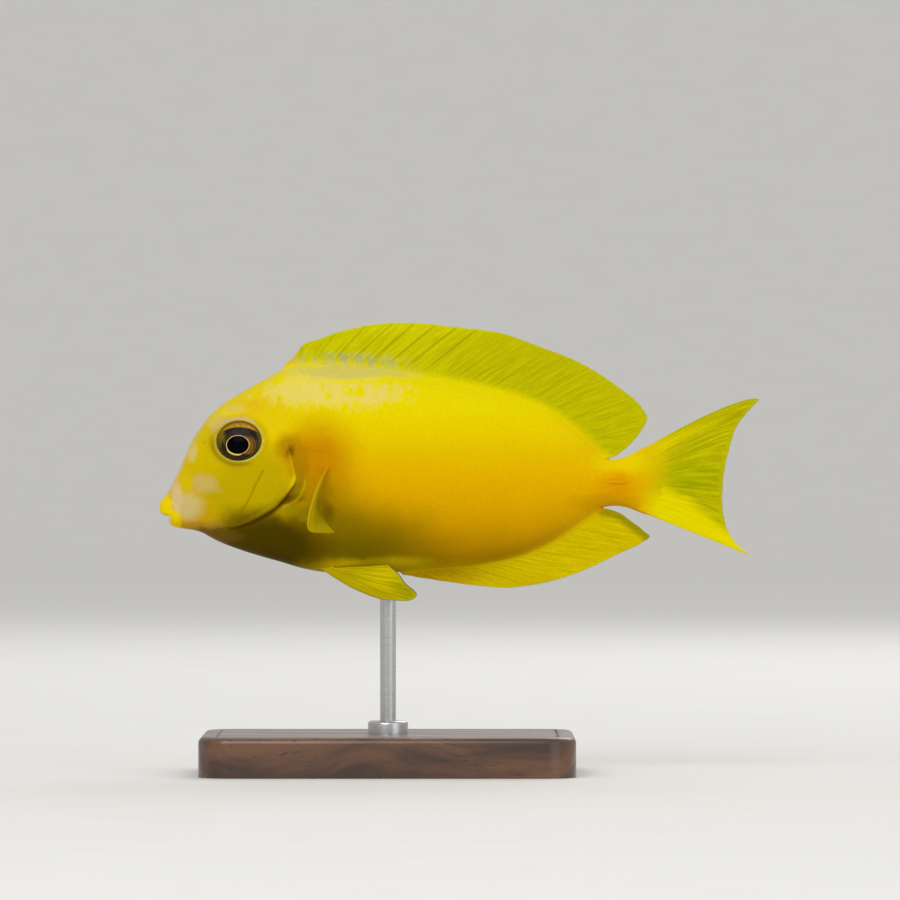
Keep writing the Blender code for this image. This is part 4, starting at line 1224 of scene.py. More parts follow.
dorsal_fin = fin_sheet(
    "dorsal_fin_web",
    median_point(DORSAL_ROOT, DORSAL_EDGE, DORSAL_RAKE, back),
    median_rays(DORSAL_SPINES, DORSAL_RAYS, DORSAL_SPREAD),
    DORSAL_SPINES,
    MEDIAN_SIZES,
    wave=0.25,
)
anal_fin = fin_sheet(
    "anal_fin_web",
    median_point(ANAL_ROOT, ANAL_EDGE, ANAL_RAKE, belly),
    median_rays(ANAL_SPINES, ANAL_RAYS, ANAL_SPREAD),
    ANAL_SPINES,
    MEDIAN_SIZES,
    wave=-0.2,
    rear_edge=(*ANAL_EDGE[9:], (66.6, -4.3)),
)

# %% [markdown]
# The tail fin is a fan of sixteen rays, each of which parts into two. The rays stand closer at the tips
# of the two lobes, which the rule of its lines above already holds.

# %% Tail fin
TAIL_RAYS = 16
BAND_BORDER = ((0.0, 0.54), (0.41, 0.61), (0.75, 0.67), (1.0, 0.73))  # way along, share across


def tail_bands(share, v):
    """Where the tail fin is bright and smooth: its lower border, and a narrow band under the upper one."""
    lower = soft_step(share - smooth(BAND_BORDER, v), -0.06, 0.06)
    upper = bell(share, 0.13, 0.08) * soft_step(v, 0.8, 0.3)
    return np.maximum(lower, 0.6 * upper)


tail_sizes = dict(MEDIAN_SIZES, sink=1.6, ray_width=0.24, ray_half=0.12, flesh_reach=1.8, bare_reach=6.0)
tail_fin = fin_sheet(
    "tail_fin_web", tail_point, np.linspace(0, 1, TAIL_RAYS), 0, tail_sizes, wave=0.2, bright=tail_bands
)

# %% [markdown]
# The paired fins stand off the body. The pectoral fin in the photograph is folded down and points out at
# the viewer, so it shows as a narrow fan. The other side is its mirror image.

# %% Pectoral and pelvic fins
PECTORAL_EDGE = (  # distance, height, and how far out from the shoulder
    (22.45, -6.75, 10.4),
    (22.65, -7.35, 10.0),
    (23.3, -7.75, 8.6),
    (24.6, -7.85, 6.6),
    (25.8, -7.9, 4.6),
    (26.5, -7.8, 3.0),
)
PECTORAL_RAYS, PECTORAL_BOW = 16, 0.5
PECTORAL_SWEEP = (-0.45, -1.0)  # of the leading and the trailing ray backwards
PELVIC_ROOT = ((24.6, -13.5, 1.5), (26.6, -13.1, 2.3))
PELVIC_EDGE = (
    (33.5, -17.8, 4.9),
    (35.9, -18.0, 4.9),
    (37.9, -17.9, 4.8),
    (38.6, -17.4, 4.7),
    (37.0, -15.6, 4.3),
    (35.7, -13.9, 4.0),
    (34.3, -12.7, 3.9),
)
PELVIC_RAYS, PELVIC_BOW, PELVIC_DROOP = 6, 0.35, 0.5


def pectoral_point(side):
    def point(share, v):
        share, v = np.broadcast_arrays(np.asarray(share, float), np.asarray(v, float))
        lead, trail = np.array(PECTORAL_ROOT)
        root = lead + (trail - lead) * share[..., None]
        foot = np.stack([root[..., 0], side * flank(root[..., 0], root[..., 1]), root[..., 1]], axis=-1)
        tip = along_curve(PECTORAL_EDGE, share)
        tip = np.stack([tip[..., 0], side * (half_width(root[..., 0]) + tip[..., 2]), tip[..., 1]], axis=-1)
        bow = 4 * v * (1 - v)
        sweep = PECTORAL_SWEEP[0] + (PECTORAL_SWEEP[1] - PECTORAL_SWEEP[0]) * share
        bent = np.stack([sweep * bow, side * PECTORAL_BOW * bow, np.zeros(v.shape)], axis=-1)
        return foot + (tip - foot) * v[..., None] + bent

    return point


def pelvic_point(side):
    def point(share, v):
        share, v = np.broadcast_arrays(np.asarray(share, float), np.asarray(v, float))
        lead, trail = np.array(PELVIC_ROOT)
        root = lead + (trail - lead) * share[..., None]
        foot = np.stack([root[..., 0], side * root[..., 2], root[..., 1]], axis=-1)
        tip = along_curve(PELVIC_EDGE, share)
        tip = np.stack([tip[..., 0], side * tip[..., 2], tip[..., 1]], axis=-1)
        bow = 4 * v * (1 - v)
        droop = PELVIC_DROOP * (1 - share) * bow
        bent = np.stack([np.zeros(v.shape), side * PELVIC_BOW * bow, -droop], axis=-1)
        return foot + (tip - foot) * v[..., None] + bent

    return point


def pectoral_band(share, v):
    """Where the pectoral fin is bright: along its leading edge, wider towards the tip."""
    return soft_step(share, 0.2 + 0.25 * v, 0.05 + 0.1 * v) * soft_step(v, 0.0, 0.3)


pectoral_sizes = dict(
    MEDIAN_SIZES, sink=0.9, spine_width=0.34, spine_half=0.24, ray_half=0.08, flesh_half=0.35
)
pelvic_sizes = dict(MEDIAN_SIZES, sink=0.8, spine_width=0.4, spine_half=0.24, ray_width=0.34, flesh_half=0.3)
paired_fins = {}
for side, label in ((-1, "left"), (1, "right")):
    shares = np.linspace(0, 1, PECTORAL_RAYS)
    paired_fins["pectoral_fin_" + label] = fin_sheet(
        f"pectoral_fin_{label}_web", pectoral_point(side), shares, 1, pectoral_sizes, bright=pectoral_band
    )
    shares = np.linspace(0, 1, PELVIC_RAYS)
    paired_fins["pelvic_fin_" + label] = fin_sheet(
        f"pelvic_fin_{label}_web", pelvic_point(side), shares, 1, pelvic_sizes
    )
print("paired fins:", sorted(paired_fins))

# %% [markdown]
# ## The colours of the fins
#
# A fin web is thin skin, so the colour of the body runs out on to its base and fades into a duller yellow
# green. The rays show as faint darker lines, and a bluish white shine runs along the very edge, brightest
# at the tips of the hard spines. All fins share one node group, and each material sets its own colours.

# %% The web of a fin as a node group
web_group, web_in, web_out = new_group(
    "fin_web",
    [
        ("Place", "Vector", None),
        ("Web", "Color", None),
        ("Ray", "Color", None),
        ("Spine", "Color", None),
        ("Rim", "Color", None),
        ("Flesh Reach", "Float", 1.5),
        ("Ray Strength", "Float", 0.3),
        ("Rim Strength", "Float", 0.3),
        ("Bright", "Color", None),
        ("Streaks", "Float", 0.2),
    ],
    [("Color", "Color"), ("Roughness", "Float"), ("Height", "Float")],
)
flesh = use_group(web_group, flesh_group, {"Place": web_in.outputs["Place"]})
fine = flesh.outputs["Fine"]
shade = ramp(web_group, fine, 0.25, 0.75, 0.95, 1.05)
colour = mix(web_group, 1.0, web_in.outputs["Web"], as_grey(web_group, shade), "MULTIPLY")
soft_ray = maths(web_group, "SUBTRACT", mark(web_group, "ray"), mark(web_group, "stiff"), clamp=True)
ray_share = maths(web_group, "MULTIPLY", ramp(web_group, soft_ray, 0.1, 0.9), web_in.outputs["Ray Strength"])
colour = mix(web_group, ray_share, colour, web_in.outputs["Ray"])
colour = mix(web_group, mark(web_group, "bright"), colour, web_in.outputs["Bright"])
streak_place = {0: mark(web_group, "across"), 1: maths(web_group, "MULTIPLY", mark(web_group, "way"), 0.6)}
streak_place = add(web_group, "ShaderNodeCombineXYZ", streak_place).outputs[0]
streaks = ramp(web_group, noise(web_group, streak_place, 4.2, 0.5), 0.3, 0.7, -0.6, 0.4)
streaks = times(web_group, streaks, mark(web_group, "fan"), web_in.outputs["Streaks"])
streaks = maths(web_group, "ADD", streaks, 1.0)
colour = mix(web_group, 1.0, colour, as_grey(web_group, streaks), "MULTIPLY")
hard_ray = maths(web_group, "MULTIPLY", mark(web_group, "ray"), mark(web_group, "stiff"))
colour = mix(web_group, ramp(web_group, hard_ray, 0.1, 1.0, 0.0, 0.5), colour, web_in.outputs["Spine"])
rim_share = ramp(web_group, mark(web_group, "edge"), 0.03, 0.16, 1.0, 0.0)
rim_share = maths(web_group, "MULTIPLY", rim_share, web_in.outputs["Rim Strength"])
colour = mix(web_group, rim_share, colour, web_in.outputs["Rim"])
uneven = maths(web_group, "MULTIPLY_ADD", fine, -1.4, mark(web_group, "along"))
fleshy = ramp(web_group, uneven, -1.1, web_in.outputs["Flesh Reach"], 1.0, 0.0)
colour = mix(web_group, fleshy, colour, flesh.outputs["Color"])
web_group.links.new(colour, web_out.inputs["Color"])
web_group.links.new(ramp(web_group, fine, 0.2, 0.8, 0.4, 0.55), web_out.inputs["Roughness"])
web_group.links.new(fine, web_out.inputs["Height"])
print("node group", web_group.name, "with", len(web_group.nodes), "nodes")


# %% Materials of the fins
BLUE_WHITE = paint(178, 190, 196)
BAND_YELLOW = paint(225, 210, 0)


def fin_material(
    name,
    web,
    ray,
    spine,
    reach=1.5,
    strength=0.3,
    rim=0.3,
    streaks=0.2,
    band=BAND_YELLOW,
    patches=(),
    dust=(),
    strip=None,
    tips=0.0,
):
    """A fin's material, on the flesh colours where web is None. Patches, dust and strip lie on its web."""
    made, tree, shader = new_material(name)
    place = add(tree, "ShaderNodeTexCoord").outputs["Object"]
    flesh = use_group(tree, flesh_group, {"Place": place})
    side_view = vector_maths(tree, "MULTIPLY", flesh.outputs["Millimetres"], SIDE_VIEW)
    ground = flesh.outputs["Color"] if web is None else web
    for centre, size, softness, torn_by, tint, strong in patches:
        mask = patch_mask(side_view, centre, size, softness, torn_by, flesh.outputs["Fine"], strong, tree)
        ground = mix(tree, mask, ground, tint)
    for centre, size, tint in dust:
        cover = patch_mask(side_view, centre, size, 0.5, tree=tree)
        broken = times(tree, cover, ramp(tree, flesh.outputs["Blotch"], 0.42, 0.62))
        ground = mix(tree, broken, ground, tint)
    if strip:
        ground = mix(tree, times(tree, mark(tree, "trailing"), 0.9), ground, strip)
    values = {"Place": place, "Web": ground, "Ray": ray, "Spine": spine, "Rim": BLUE_WHITE, "Bright": band}
    values |= {"Flesh Reach": reach, "Ray Strength": strength, "Rim Strength": rim, "Streaks": streaks}
    web_made = use_group(tree, web_group, values)
    colour = web_made.outputs["Color"]
    if tips:
        near_tip = ramp(tree, mark(tree, "edge"), 0.12, 0.42, tips, 0.0)
        on_spine = times(tree, mark(tree, "stiff"), ramp(tree, mark(tree, "ray"), 0.2, 0.8))
        colour = mix(tree, times(tree, near_tip, on_spine), colour, BLUE_WHITE)
    tree.links.new(colour, shader.inputs["Base Color"])
    tree.links.new(web_made.outputs["Roughness"], shader.inputs["Roughness"])
    raise_surface(tree, shader, web_made.outputs["Height"], 0.2, FIN_RELIEF_DEPTH)
    set_values(shader, Specular_IOR_Level=FLESH_GLOSS, Specular_Tint=WARM_SHEEN)
    return made


OLIVE_RAY = paint(142, 137, 0)
dorsal_finish = fin_material(
    "dorsal_web",
    paint(188, 183, 2),
    OLIVE_RAY,
    paint(150, 142, 0),
    reach=1.4,
    strength=0.3,
    streaks=0.16,
    patches=(
        ((30.0, 20.5), (14.0, 6.0), 0.6, 0.3, paint(197, 193, 4), 0.9),
        ((36.0, 22.9), (14.0, 1.0), 0.8, 0.3, paint(206, 203, 5), 0.7),
        ((19.4, 17.3), (1.7, 1.6), 0.7, 0.4, paint(222, 184, 4), 0.85),  # orange yellow front
    ),
    dust=(((28.0, 17.5), (7.6, 1.4), paint(176, 173, 112)),),
    tips=0.95,
)
anal_finish = fin_material(
    "anal_web",
    paint(209, 187, 1),
    paint(160, 142, 0),
    paint(168, 138, 0),
    reach=1.2,
    strength=0.25,
    rim=0.6,
    streaks=0.16,
    patches=(((38.5, -13.6), (9.0, 2.6), 0.7, 0.3, paint(160, 124, 2), 0.9),),
    strip=paint(146, 136, 1),
    tips=0.5,
)
tail_finish = fin_material(
    "tail_web", None, paint(152, 150, 0), OLIVE_RAY, reach=2.5, strength=0.2, rim=0.1, streaks=0.32
)
pectoral_finish = fin_material(
    "pectoral_web",
    paint(158, 142, 3),
    paint(134, 116, 0),
    paint(184, 152, 6),
    reach=6.0,
    strength=0.3,
    rim=0.0,
    band=paint(186, 160, 6),
    patches=(
        # painted shade on the fin near its root, beside the painted shadow on the flank
        ((24.9, -3.6), (1.0, 1.9), 0.5, 0.2, paint(118, 92, 3), 0.85),
        ((24.8, -7.4), (2.2, 0.9), 0.6, 0.3, paint(176, 158, 4), 0.8),
    ),
)
pelvic_finish = fin_material(
    "pelvic_web",
    paint(176, 161, 3),
    paint(150, 136, 0),
    paint(186, 166, 4),
    reach=3.6,
    strength=0.4,
    rim=0.15,
    streaks=0.3,
    patches=(
        ((32.6, -14.2), (3.6, 1.5), 0.8, 0.4, paint(206, 187, 3), 0.9),
        ((37.6, -16.4), (2.2, 2.2), 0.7, 0.3, paint(166, 160, 3), 0.8),
    ),
)

dress(dorsal_fin, dorsal_finish, "fin_membrane", "dorsal_fin")
dress(anal_fin, anal_finish, "fin_membrane", "anal_fin")
dress(tail_fin, tail_finish, "fin_membrane", "caudal_fin_upper", "caudal_fin_lower")
for node, piece in paired_fins.items():
    dress(piece, pectoral_finish if node.startswith("pectoral") else pelvic_finish, "fin_membrane", node)

# %% [markdown]
# ## Eyes
#
# A tang's eye turns a flat, wide face to the side. The pupil is a black oval a little low and in front of
# its middle, with a thin gold ring; over it lies an ochre crescent, and the rest of the iris is nearly
# black. Because the pupil is off centre, the eyeball is rolled up from rings that grow from the pupil's
# outline into the eyeball's. That puts edges exactly on the pupil and the ring. The lens bulges in the
# pupil, the ring is raised, and the iris lies a little sunk, so light plays on it as on the real eye.

# %% Eyeballs
PUPIL_PLACE = (-0.07, -0.71)  # from the middle of the eye, forwards is minus
PUPIL_RADII = (1.66, 1.34)
RING_SHARE = 1.11  # outer outline of the gold ring, as a share of the pupil's
EYE_AROUND = 160
IRIS_SINK, RING_RISE, LENS_SINK, LENS_BULGE = 0.16, 0.05, 0.1, 0.16
LENS_SHARE = 0.97  # of the pupil's outline, where the lens ends

pupil_steps = np.concatenate([np.linspace(0, 0.9, 16), (0.94, 0.97, 0.985, 1.0)])
iris_steps = np.concatenate([(0.03, 0.06, 0.1, 0.14), np.linspace(0.18, 0.8, 24), np.linspace(0.82, 1.0, 10)])
back_steps = np.linspace(0, 1, 14)[1:]
turn = np.linspace(0, 2 * np.pi, EYE_AROUND + 1)
circle = np.column_stack([np.cos(turn), np.sin(turn)])
circle[-1] = circle[0]
eye_radii = np.array(EYE_RADII[:2])
pupil_line = (np.array(PUPIL_PLACE) + circle * PUPIL_RADII) / eye_radii
pupil_middle = np.array(PUPIL_PLACE) / eye_radii
plan = [pupil_middle + (pupil_line - pupil_middle) * t for t in pupil_steps]
plan += [pupil_line + (circle - pupil_line) * t for t in iris_steps]
plan = np.array(plan)
share = np.clip(np.linalg.norm(plan, axis=2), 0, 1)
face_x, face_y = plan[..., 0] * EYE_RADII[0], plan[..., 1] * EYE_RADII[1]
in_pupil = np.hypot((face_x - PUPIL_PLACE[0]) / PUPIL_RADII[0], (face_y - PUPIL_PLACE[1]) / PUPIL_RADII[1])
dome = EYE_RADII[2] * np.sqrt(1 - share**2)
iris_level = -IRIS_SINK * soft_step(share, 0.97, 0.85)
ring_level = RING_RISE * bell(in_pupil, (1 + RING_SHARE) / 2, 0.08)
lens_level = LENS_BULGE * np.sqrt(1 - np.clip(in_pupil / LENS_SHARE, 0, 1) ** 2)
lens_level -= LENS_SINK * soft_step(in_pupil, 1.03, LENS_SHARE)
front = np.dstack([face_x, face_y, dome + iris_level + ring_level + lens_level])
back_turn = (back_steps * np.pi / 2)[:, None, None]
rear_depth = np.broadcast_to(-EYE_RADII[2] * np.sin(back_turn), (len(back_steps), len(turn), 1))
rear = np.concatenate([circle * np.cos(back_turn) * eye_radii, rear_depth], axis=2)
local = np.concatenate([front, rear])
eyeballs = {}
for side, label in ((1, "left"), (-1, "right")):
    points = eye_centre + local[..., :1] * eye_along + local[..., 1:2] * eye_up + local[..., 2:] * eye_out
    marks = {"eye_x": local[..., 0], "eye_y": local[..., 1]}
    eyeballs[label] = rolled_sheet(f"eyeball_{label}", points * (1, side, 1), marks)
print("rings of an eyeball:", len(local))

# %% [markdown]
# The iris is painted in the eye's own plane, where x runs backwards and y up, in millimetres. Those two
# values are marks of the eyeball, so both eyes share one material. Streaks follow circles round the
# pupil: a noise that is read by direction and distance, with the distance stretched, gives them.

# %% Material of the eyes
EYE_GOLD = paint(206, 150, 34)
GOLD_ARCS = ((1.2, 0.8), (1.36, 0.55), (1.56, 0.35))  # size as a share of the pupil's, and strength
GOLD_ARC_WIDTH = 0.07
DISC_RADII = (3.41, 2.99)  # of the iris as far as it shows
VAULT_PLACE, VAULT_RADII = (0.0, -0.1), (3.6, 2.06)  # of the oval that the ochre crescent lies on
RING_SOFTNESS = 0.05
eye_finish, tree, shader = new_material("eye")
eye_x, eye_y = mark(tree, "eye_x"), mark(tree, "eye_y")


def oval_share(centre, radii):
    """How far out a place of the eye lies, as a share of an oval."""
    apart_x = maths(tree, "DIVIDE", maths(tree, "SUBTRACT", eye_x, centre[0]), radii[0])
    apart_y = maths(tree, "DIVIDE", maths(tree, "SUBTRACT", eye_y, centre[1]), radii[1])
    squares = maths(tree, "MULTIPLY_ADD", apart_x, apart_x, maths(tree, "MULTIPLY", apart_y, apart_y))
    return maths(tree, "SQRT", squares)


def stroke(share, place, width):
    """A soft line round an oval, where its share has a value."""
    rise = ramp(tree, share, place - width, place)
    return times(tree, rise, ramp(tree, share, place, place + width, 1.0, 0.0))


pupil_share = oval_share(PUPIL_PLACE, PUPIL_RADII)
disc_share = oval_share((0.0, 0.0), DISC_RADII)
vault_share = oval_share(VAULT_PLACE, VAULT_RADII)
from_pupil = [maths(tree, "SUBTRACT", value, middle) for value, middle in zip((eye_x, eye_y), PUPIL_PLACE)]
apart = add(tree, "ShaderNodeCombineXYZ", {0: from_pupil[0], 1: from_pupil[1]}).outputs[0]
direction = vector_maths(tree, "NORMALIZE", apart)
stretch = add(tree, "ShaderNodeCombineXYZ", {2: maths(tree, "MULTIPLY", pupil_share, 4.5)}).outputs[0]
streaks = noise(tree, vector_maths(tree, "ADD", direction, stretch), 1.6, 4.0, 0.6)
blotches = noise(tree, apart, 1.9, 3.0, 0.6)

# nearly black, with an olive border that is brightest in front
colour = mix(tree, ramp(tree, streaks, 0.42, 0.7), paint(20, 13, 8), paint(60, 44, 8))
border = times(tree, ramp(tree, disc_share, 0.78, 0.98), ramp(tree, eye_y, -2.4, 0.6, 0.15, 0.9))
colour = mix(tree, border, colour, paint(96, 78, 6))
front_olive = ramp(tree, oval_share((-2.65, 0.35), (0.75, 1.3)), 0.5, 1.3, 0.85, 0.0)
front_olive = times(tree, front_olive, ramp(tree, streaks, 0.42, 0.56, 0.1, 1.0))
colour = mix(tree, front_olive, colour, paint(118, 102, 8))
purple = ramp(tree, oval_share((0.1, 1.25), (1.9, 0.5)), 0.4, 1.3, 0.7, 0.0)
purple = times(tree, purple, ramp(tree, streaks, 0.3, 0.6, 0.4, 1.0))
colour = mix(tree, purple, colour, paint(38, 27, 40))

# golden streaks behind the pupil, in a brown field
behind = times(tree, ramp(tree, eye_x, 0.5, 1.5), ramp(tree, eye_y, 0.9, 0.1), ramp(tree, eye_y, -2.5, -1.7))
field = times(tree, behind, ramp(tree, pupil_share, 1.2, 1.75, 0.7, 0.0))
colour = mix(tree, field, colour, paint(112, 68, 14))
for place, strength in GOLD_ARCS:
    arc = stroke(pupil_share, place, GOLD_ARC_WIDTH)
    arc = times(tree, behind, arc, ramp(tree, streaks, 0.35, 0.6, 0.15, strength))
    colour = mix(tree, arc, colour, EYE_GOLD)

# the crescent over it
crescent = times(tree, ramp(tree, vault_share, 0.97, 1.05), ramp(tree, eye_y, 0.8, 1.3))
crescent = times(tree, crescent, ramp(tree, disc_share, 1.0, 0.95, 0.4, 1.0))
ochre = mix(tree, ramp(tree, eye_x, -2.6, -1.2), paint(174, 154, 16), paint(176, 134, 14))
lower_rear = times(tree, ramp(tree, vault_share, 1.22, 1.08), ramp(tree, eye_x, 0.0, 1.6, 0.0, 0.85))
ochre = mix(tree, lower_rear, ochre, paint(228, 152, 34))
# painted shade along the top of the crescent, under the rim of the socket
ochre = mix(tree, ramp(tree, disc_share, 0.8, 0.95, 0.0, 0.9), ochre, paint(104, 73, 6))
ochre = mix(tree, ramp(tree, blotches, 0.46, 0.62, 0.0, 0.6), ochre, paint(118, 82, 8))
colour = mix(tree, crescent, colour, ochre)

# the pale ring, thick and gold only below and in front
fore_low = ramp(tree, maths(tree, "MULTIPLY_ADD", from_pupil[0], 0.36, from_pupil[1]), -1.0, -1.6)
ring_width = maths(tree, "MULTIPLY_ADD", fore_low, 0.09, RING_SHARE - RING_SOFTNESS)
ring_end = maths(tree, "ADD", ring_width, RING_SOFTNESS)
ring_mask = ramp(tree, pupil_share, 0.98, 1.03)
ring_mask = times(tree, ring_mask, ramp(tree, pupil_share, ring_width, ring_end, 1.0, 0.0))
ring_tint = mix(tree, ramp(tree, blotches, 0.35, 0.65), paint(228, 196, 132), paint(206, 158, 74))
ring_tint = mix(tree, fore_low, ring_tint, paint(238, 208, 102))
colour = mix(tree, ring_mask, colour, ring_tint)
colour = mix(tree, ramp(tree, pupil_share, 0.98, 1.02, 1.0, 0.0), colour, paint(4, 4, 8))
tree.links.new(colour, shader.inputs["Base Color"])
tree.links.new(ramp(tree, pupil_share, 0.98, 1.02, 0.08, 0.4), shader.inputs["Roughness"])
raise_surface(tree, shader, streaks, 0.25, RELIEF_DEPTH)
tree.links.new(ramp(tree, pupil_share, 0.98, 1.02, 0.02, 0.12), shader.inputs["Specular IOR Level"])
for label, piece in eyeballs.items():
    dress(piece, eye_finish, "eye", "eye_" + label)

# %% [markdown]
# ## Blades on the tail stalk
#
# The fish of this family are named after the sharp, hinged blade on each side of the tail stalk. Here it
# lies folded in its sheath. A ball with its poles turned along the fish is a good start: it is drawn out
# into a spindle that comes to a point at both ends, and thinned above and below into an edge.

# %% Blades
BLADE_SINK = 0.2  # in its sheath
BLADE_SPREAD = 0.35  # how much thinner the blade is at its upper and lower edge than in between
BLADE_FULLNESS = 2.4  # above 2 the blade is fuller than an oval towards its points
blades = {}
for side, label in ((-1, "left"), (1, "right")):
    deselect()
    s, h = SCALPEL_PLACE
    out = side * (float(flank(np.array(s), np.array(h))) - BLADE_SINK)
    bpy.ops.mesh.primitive_uv_sphere_add(segments=48, ring_count=40, radius=MM, rotation=(0, np.pi / 2, 0))
    blade = bpy.context.object
    blade.name = f"blade_{label}"
    bpy.ops.object.transform_apply(location=False, rotation=True, scale=False)
    blade.data.uv_layers[0].name = "OFBake"
    spindle = np.empty(len(blade.data.vertices) * 3)
    blade.data.vertices.foreach_get("co", spindle)
    spindle = spindle.reshape(-1, 3) / MM
    thin = (1 - abs(spindle[:, 0]) ** BLADE_FULLNESS) ** 0.5
    thin = thin / np.sqrt(np.clip(1 - spindle[:, 0] ** 2, 1e-9, None))
    thin = np.where(abs(spindle[:, 0]) > 0.9999, 0.0, thin)
    edge = 1 - BLADE_SPREAD * abs(spindle[:, 2])
    shaped = np.column_stack(
        [
            s + spindle[:, 0] * SCALPEL_RADII[0],
            out + side * (spindle[:, 1] * side * SCALPEL_RADII[1] * thin * edge),
            h + spindle[:, 2] * SCALPEL_RADII[2] * thin,
        ]
    )
    blade.data.vertices.foreach_set("co", to_frame(shaped).ravel())
    weld(blade)
    blades[label] = blade
print("blades:", sorted(blades))

# %% Material of the blades
blade_finish, tree, shader = new_material("scalpel")
place = add(tree, "ShaderNodeTexCoord").outputs["Object"]
grain = vector_maths(tree, "MULTIPLY", place, (600.0, 3000.0, 3000.0))  # fibres run along the blade
fibres = noise(tree, grain, 1.0, 3.0, 0.6)
horn = mix(tree, ramp(tree, fibres, 0.3, 0.7), paint(213, 150, 0), paint(224, 164, 0))
tree.links.new(horn, shader.inputs["Base Color"])
tree.links.new(ramp(tree, fibres, 0.2, 0.8, 0.3, 0.42), shader.inputs["Roughness"])
set_values(shader, Specular_IOR_Level=0.15, Specular_Tint=WARM_SHEEN)
raise_surface(tree, shader, fibres, 0.3, RELIEF_DEPTH)
for label, piece in blades.items():
    dress(piece, blade_finish, "scalpel", "scalpel_" + label)

# %% [markdown]
# ## The stand
#
# A museum would set so small a fish on one thin steel rod in a block of dark, varnished wood. The block
# starts as a cube. Bevels round its corners and its upper edge, and an inset leaves a fine groove round
# the top. The rod and its collar start as cylinders.

# %% Wooden base
BASE_SIZE = (56.0, 40.0, 6.0)
BASE_CORNER, BASE_BEVEL = 5.0, 0.9
HAIR = 0.01  # the most by which points of one level differ
GROOVE_PLACE, GROOVE_WIDTH, GROOVE_DEPTH = 2.4, 0.5, 0.35
ROD_PLACE = 34.3


def select_where(piece, kind, test):
    """Selects the faces, edges or vertices of a piece in edit mode that pass a test."""
    bpy.ops.object.mode_set(mode="EDIT")
    bpy.ops.mesh.select_mode(type=kind)
    bpy.ops.mesh.select_all(action="DESELECT")
    shape = bmesh.from_edit_mesh(piece.data)
    parts = {"VERT": shape.verts, "EDGE": shape.edges, "FACE": shape.faces}[kind]
    for part in parts:
        part.select_set(bool(test(part)))
    shape.select_flush_mode()
    bmesh.update_edit_mesh(piece.data)


deselect()
rod_x = (ROD_PLACE - TOTAL_LENGTH / 2) * MM
bpy.ops.mesh.primitive_cube_add(
    size=1, location=(rod_x, 0, BASE_SIZE[2] / 2 * MM), scale=[side * MM for side in BASE_SIZE]
)
base = bpy.context.object
base.name = "wooden_base"
bpy.ops.object.transform_apply(location=True, rotation=False, scale=True)
select_where(base, "EDGE", lambda edge: abs(edge.verts[0].co.z - edge.verts[1].co.z) > MM)
bpy.ops.mesh.bevel(offset=BASE_CORNER * MM, segments=14, profile=0.5, affect="EDGES")
top_height = BASE_SIZE[2] * MM
select_where(base, "FACE", lambda face: face.normal.z > 0.9)
bpy.ops.mesh.inset(thickness=GROOVE_PLACE * MM, use_even_offset=True)
bpy.ops.mesh.inset(thickness=GROOVE_WIDTH / 2 * MM, depth=-GROOVE_DEPTH * MM, use_even_offset=True)
bpy.ops.mesh.inset(thickness=GROOVE_WIDTH / 2 * MM, depth=GROOVE_DEPTH * MM, use_even_offset=True)
select_where(
    base,
    "EDGE",
    lambda edge: all(vert.co.z > top_height - HAIR * MM for vert in edge.verts)
    and any(abs(face.normal.z) < 0.1 for face in edge.link_faces),
)
bpy.ops.mesh.bevel(offset=BASE_BEVEL * MM, segments=5, profile=0.5, affect="EDGES")
bpy.ops.object.mode_set(mode="OBJECT")
bpy.ops.object.shade_smooth_by_angle(angle=np.radians(32))
base_box = [round(value * 1000, 2) for value in (*base.bound_box[0], *base.bound_box[6])]
print("base:", len(base.data.polygons), "faces, box in mm", base_box)

# %% Steel rod and collar
ROD_RADIUS = 1.2
ROD_SINK = 0.8  # how far the rod runs into the belly
COLLAR_RADIUS, COLLAR_HEIGHT, COLLAR_BEVEL = 3.0, 1.6, 0.5
GROUND_IN = 0.2  # how deep the collar is let into the wood

rod_top = AXIS_HEIGHT + float(belly(ROD_PLACE)) + ROD_SINK
rod_foot = BASE_SIZE[2] - GROUND_IN
collar_top = BASE_SIZE[2] + GAP + COLLAR_HEIGHT
deselect()
bpy.ops.mesh.primitive_cylinder_add(
    vertices=72,
    radius=COLLAR_RADIUS * MM,
    depth=(collar_top - rod_foot) * MM,
    location=(rod_x, 0, (collar_top + rod_foot) / 2 * MM),
)
rod = bpy.context.object
rod.name = "steel_rod"
bpy.ops.object.transform_apply(location=True, rotation=False, scale=False)
select_where(rod, "FACE", lambda face: face.normal.z > 0.9)
bpy.ops.mesh.inset(thickness=(COLLAR_RADIUS - ROD_RADIUS) * MM)
bpy.ops.mesh.extrude_region_move(TRANSFORM_OT_translate={"value": (0, 0, (rod_top - collar_top) * MM)})


def on_collar_edge(edge):
    level = all(abs(vert.co.z - collar_top * MM) < HAIR * MM for vert in edge.verts)
    wide = all(np.hypot(vert.co.x - rod_x, vert.co.y) > (COLLAR_RADIUS - 0.1) * MM for vert in edge.verts)
    return level and wide


select_where(rod, "EDGE", on_collar_edge)
bpy.ops.mesh.bevel(offset=COLLAR_BEVEL * MM, segments=5, profile=0.5, affect="EDGES")
bpy.ops.object.mode_set(mode="OBJECT")
bpy.ops.object.shade_smooth_by_angle(angle=np.radians(32))
print("rod from", round(rod_foot, 1), "to", round(rod_top, 1), "mm over the floor")

# %% [markdown]
# Walnut shows dark and light bands along its length with short pores in them, under a thin varnish. The
# rod is brushed round, so its fine scratches run round it.

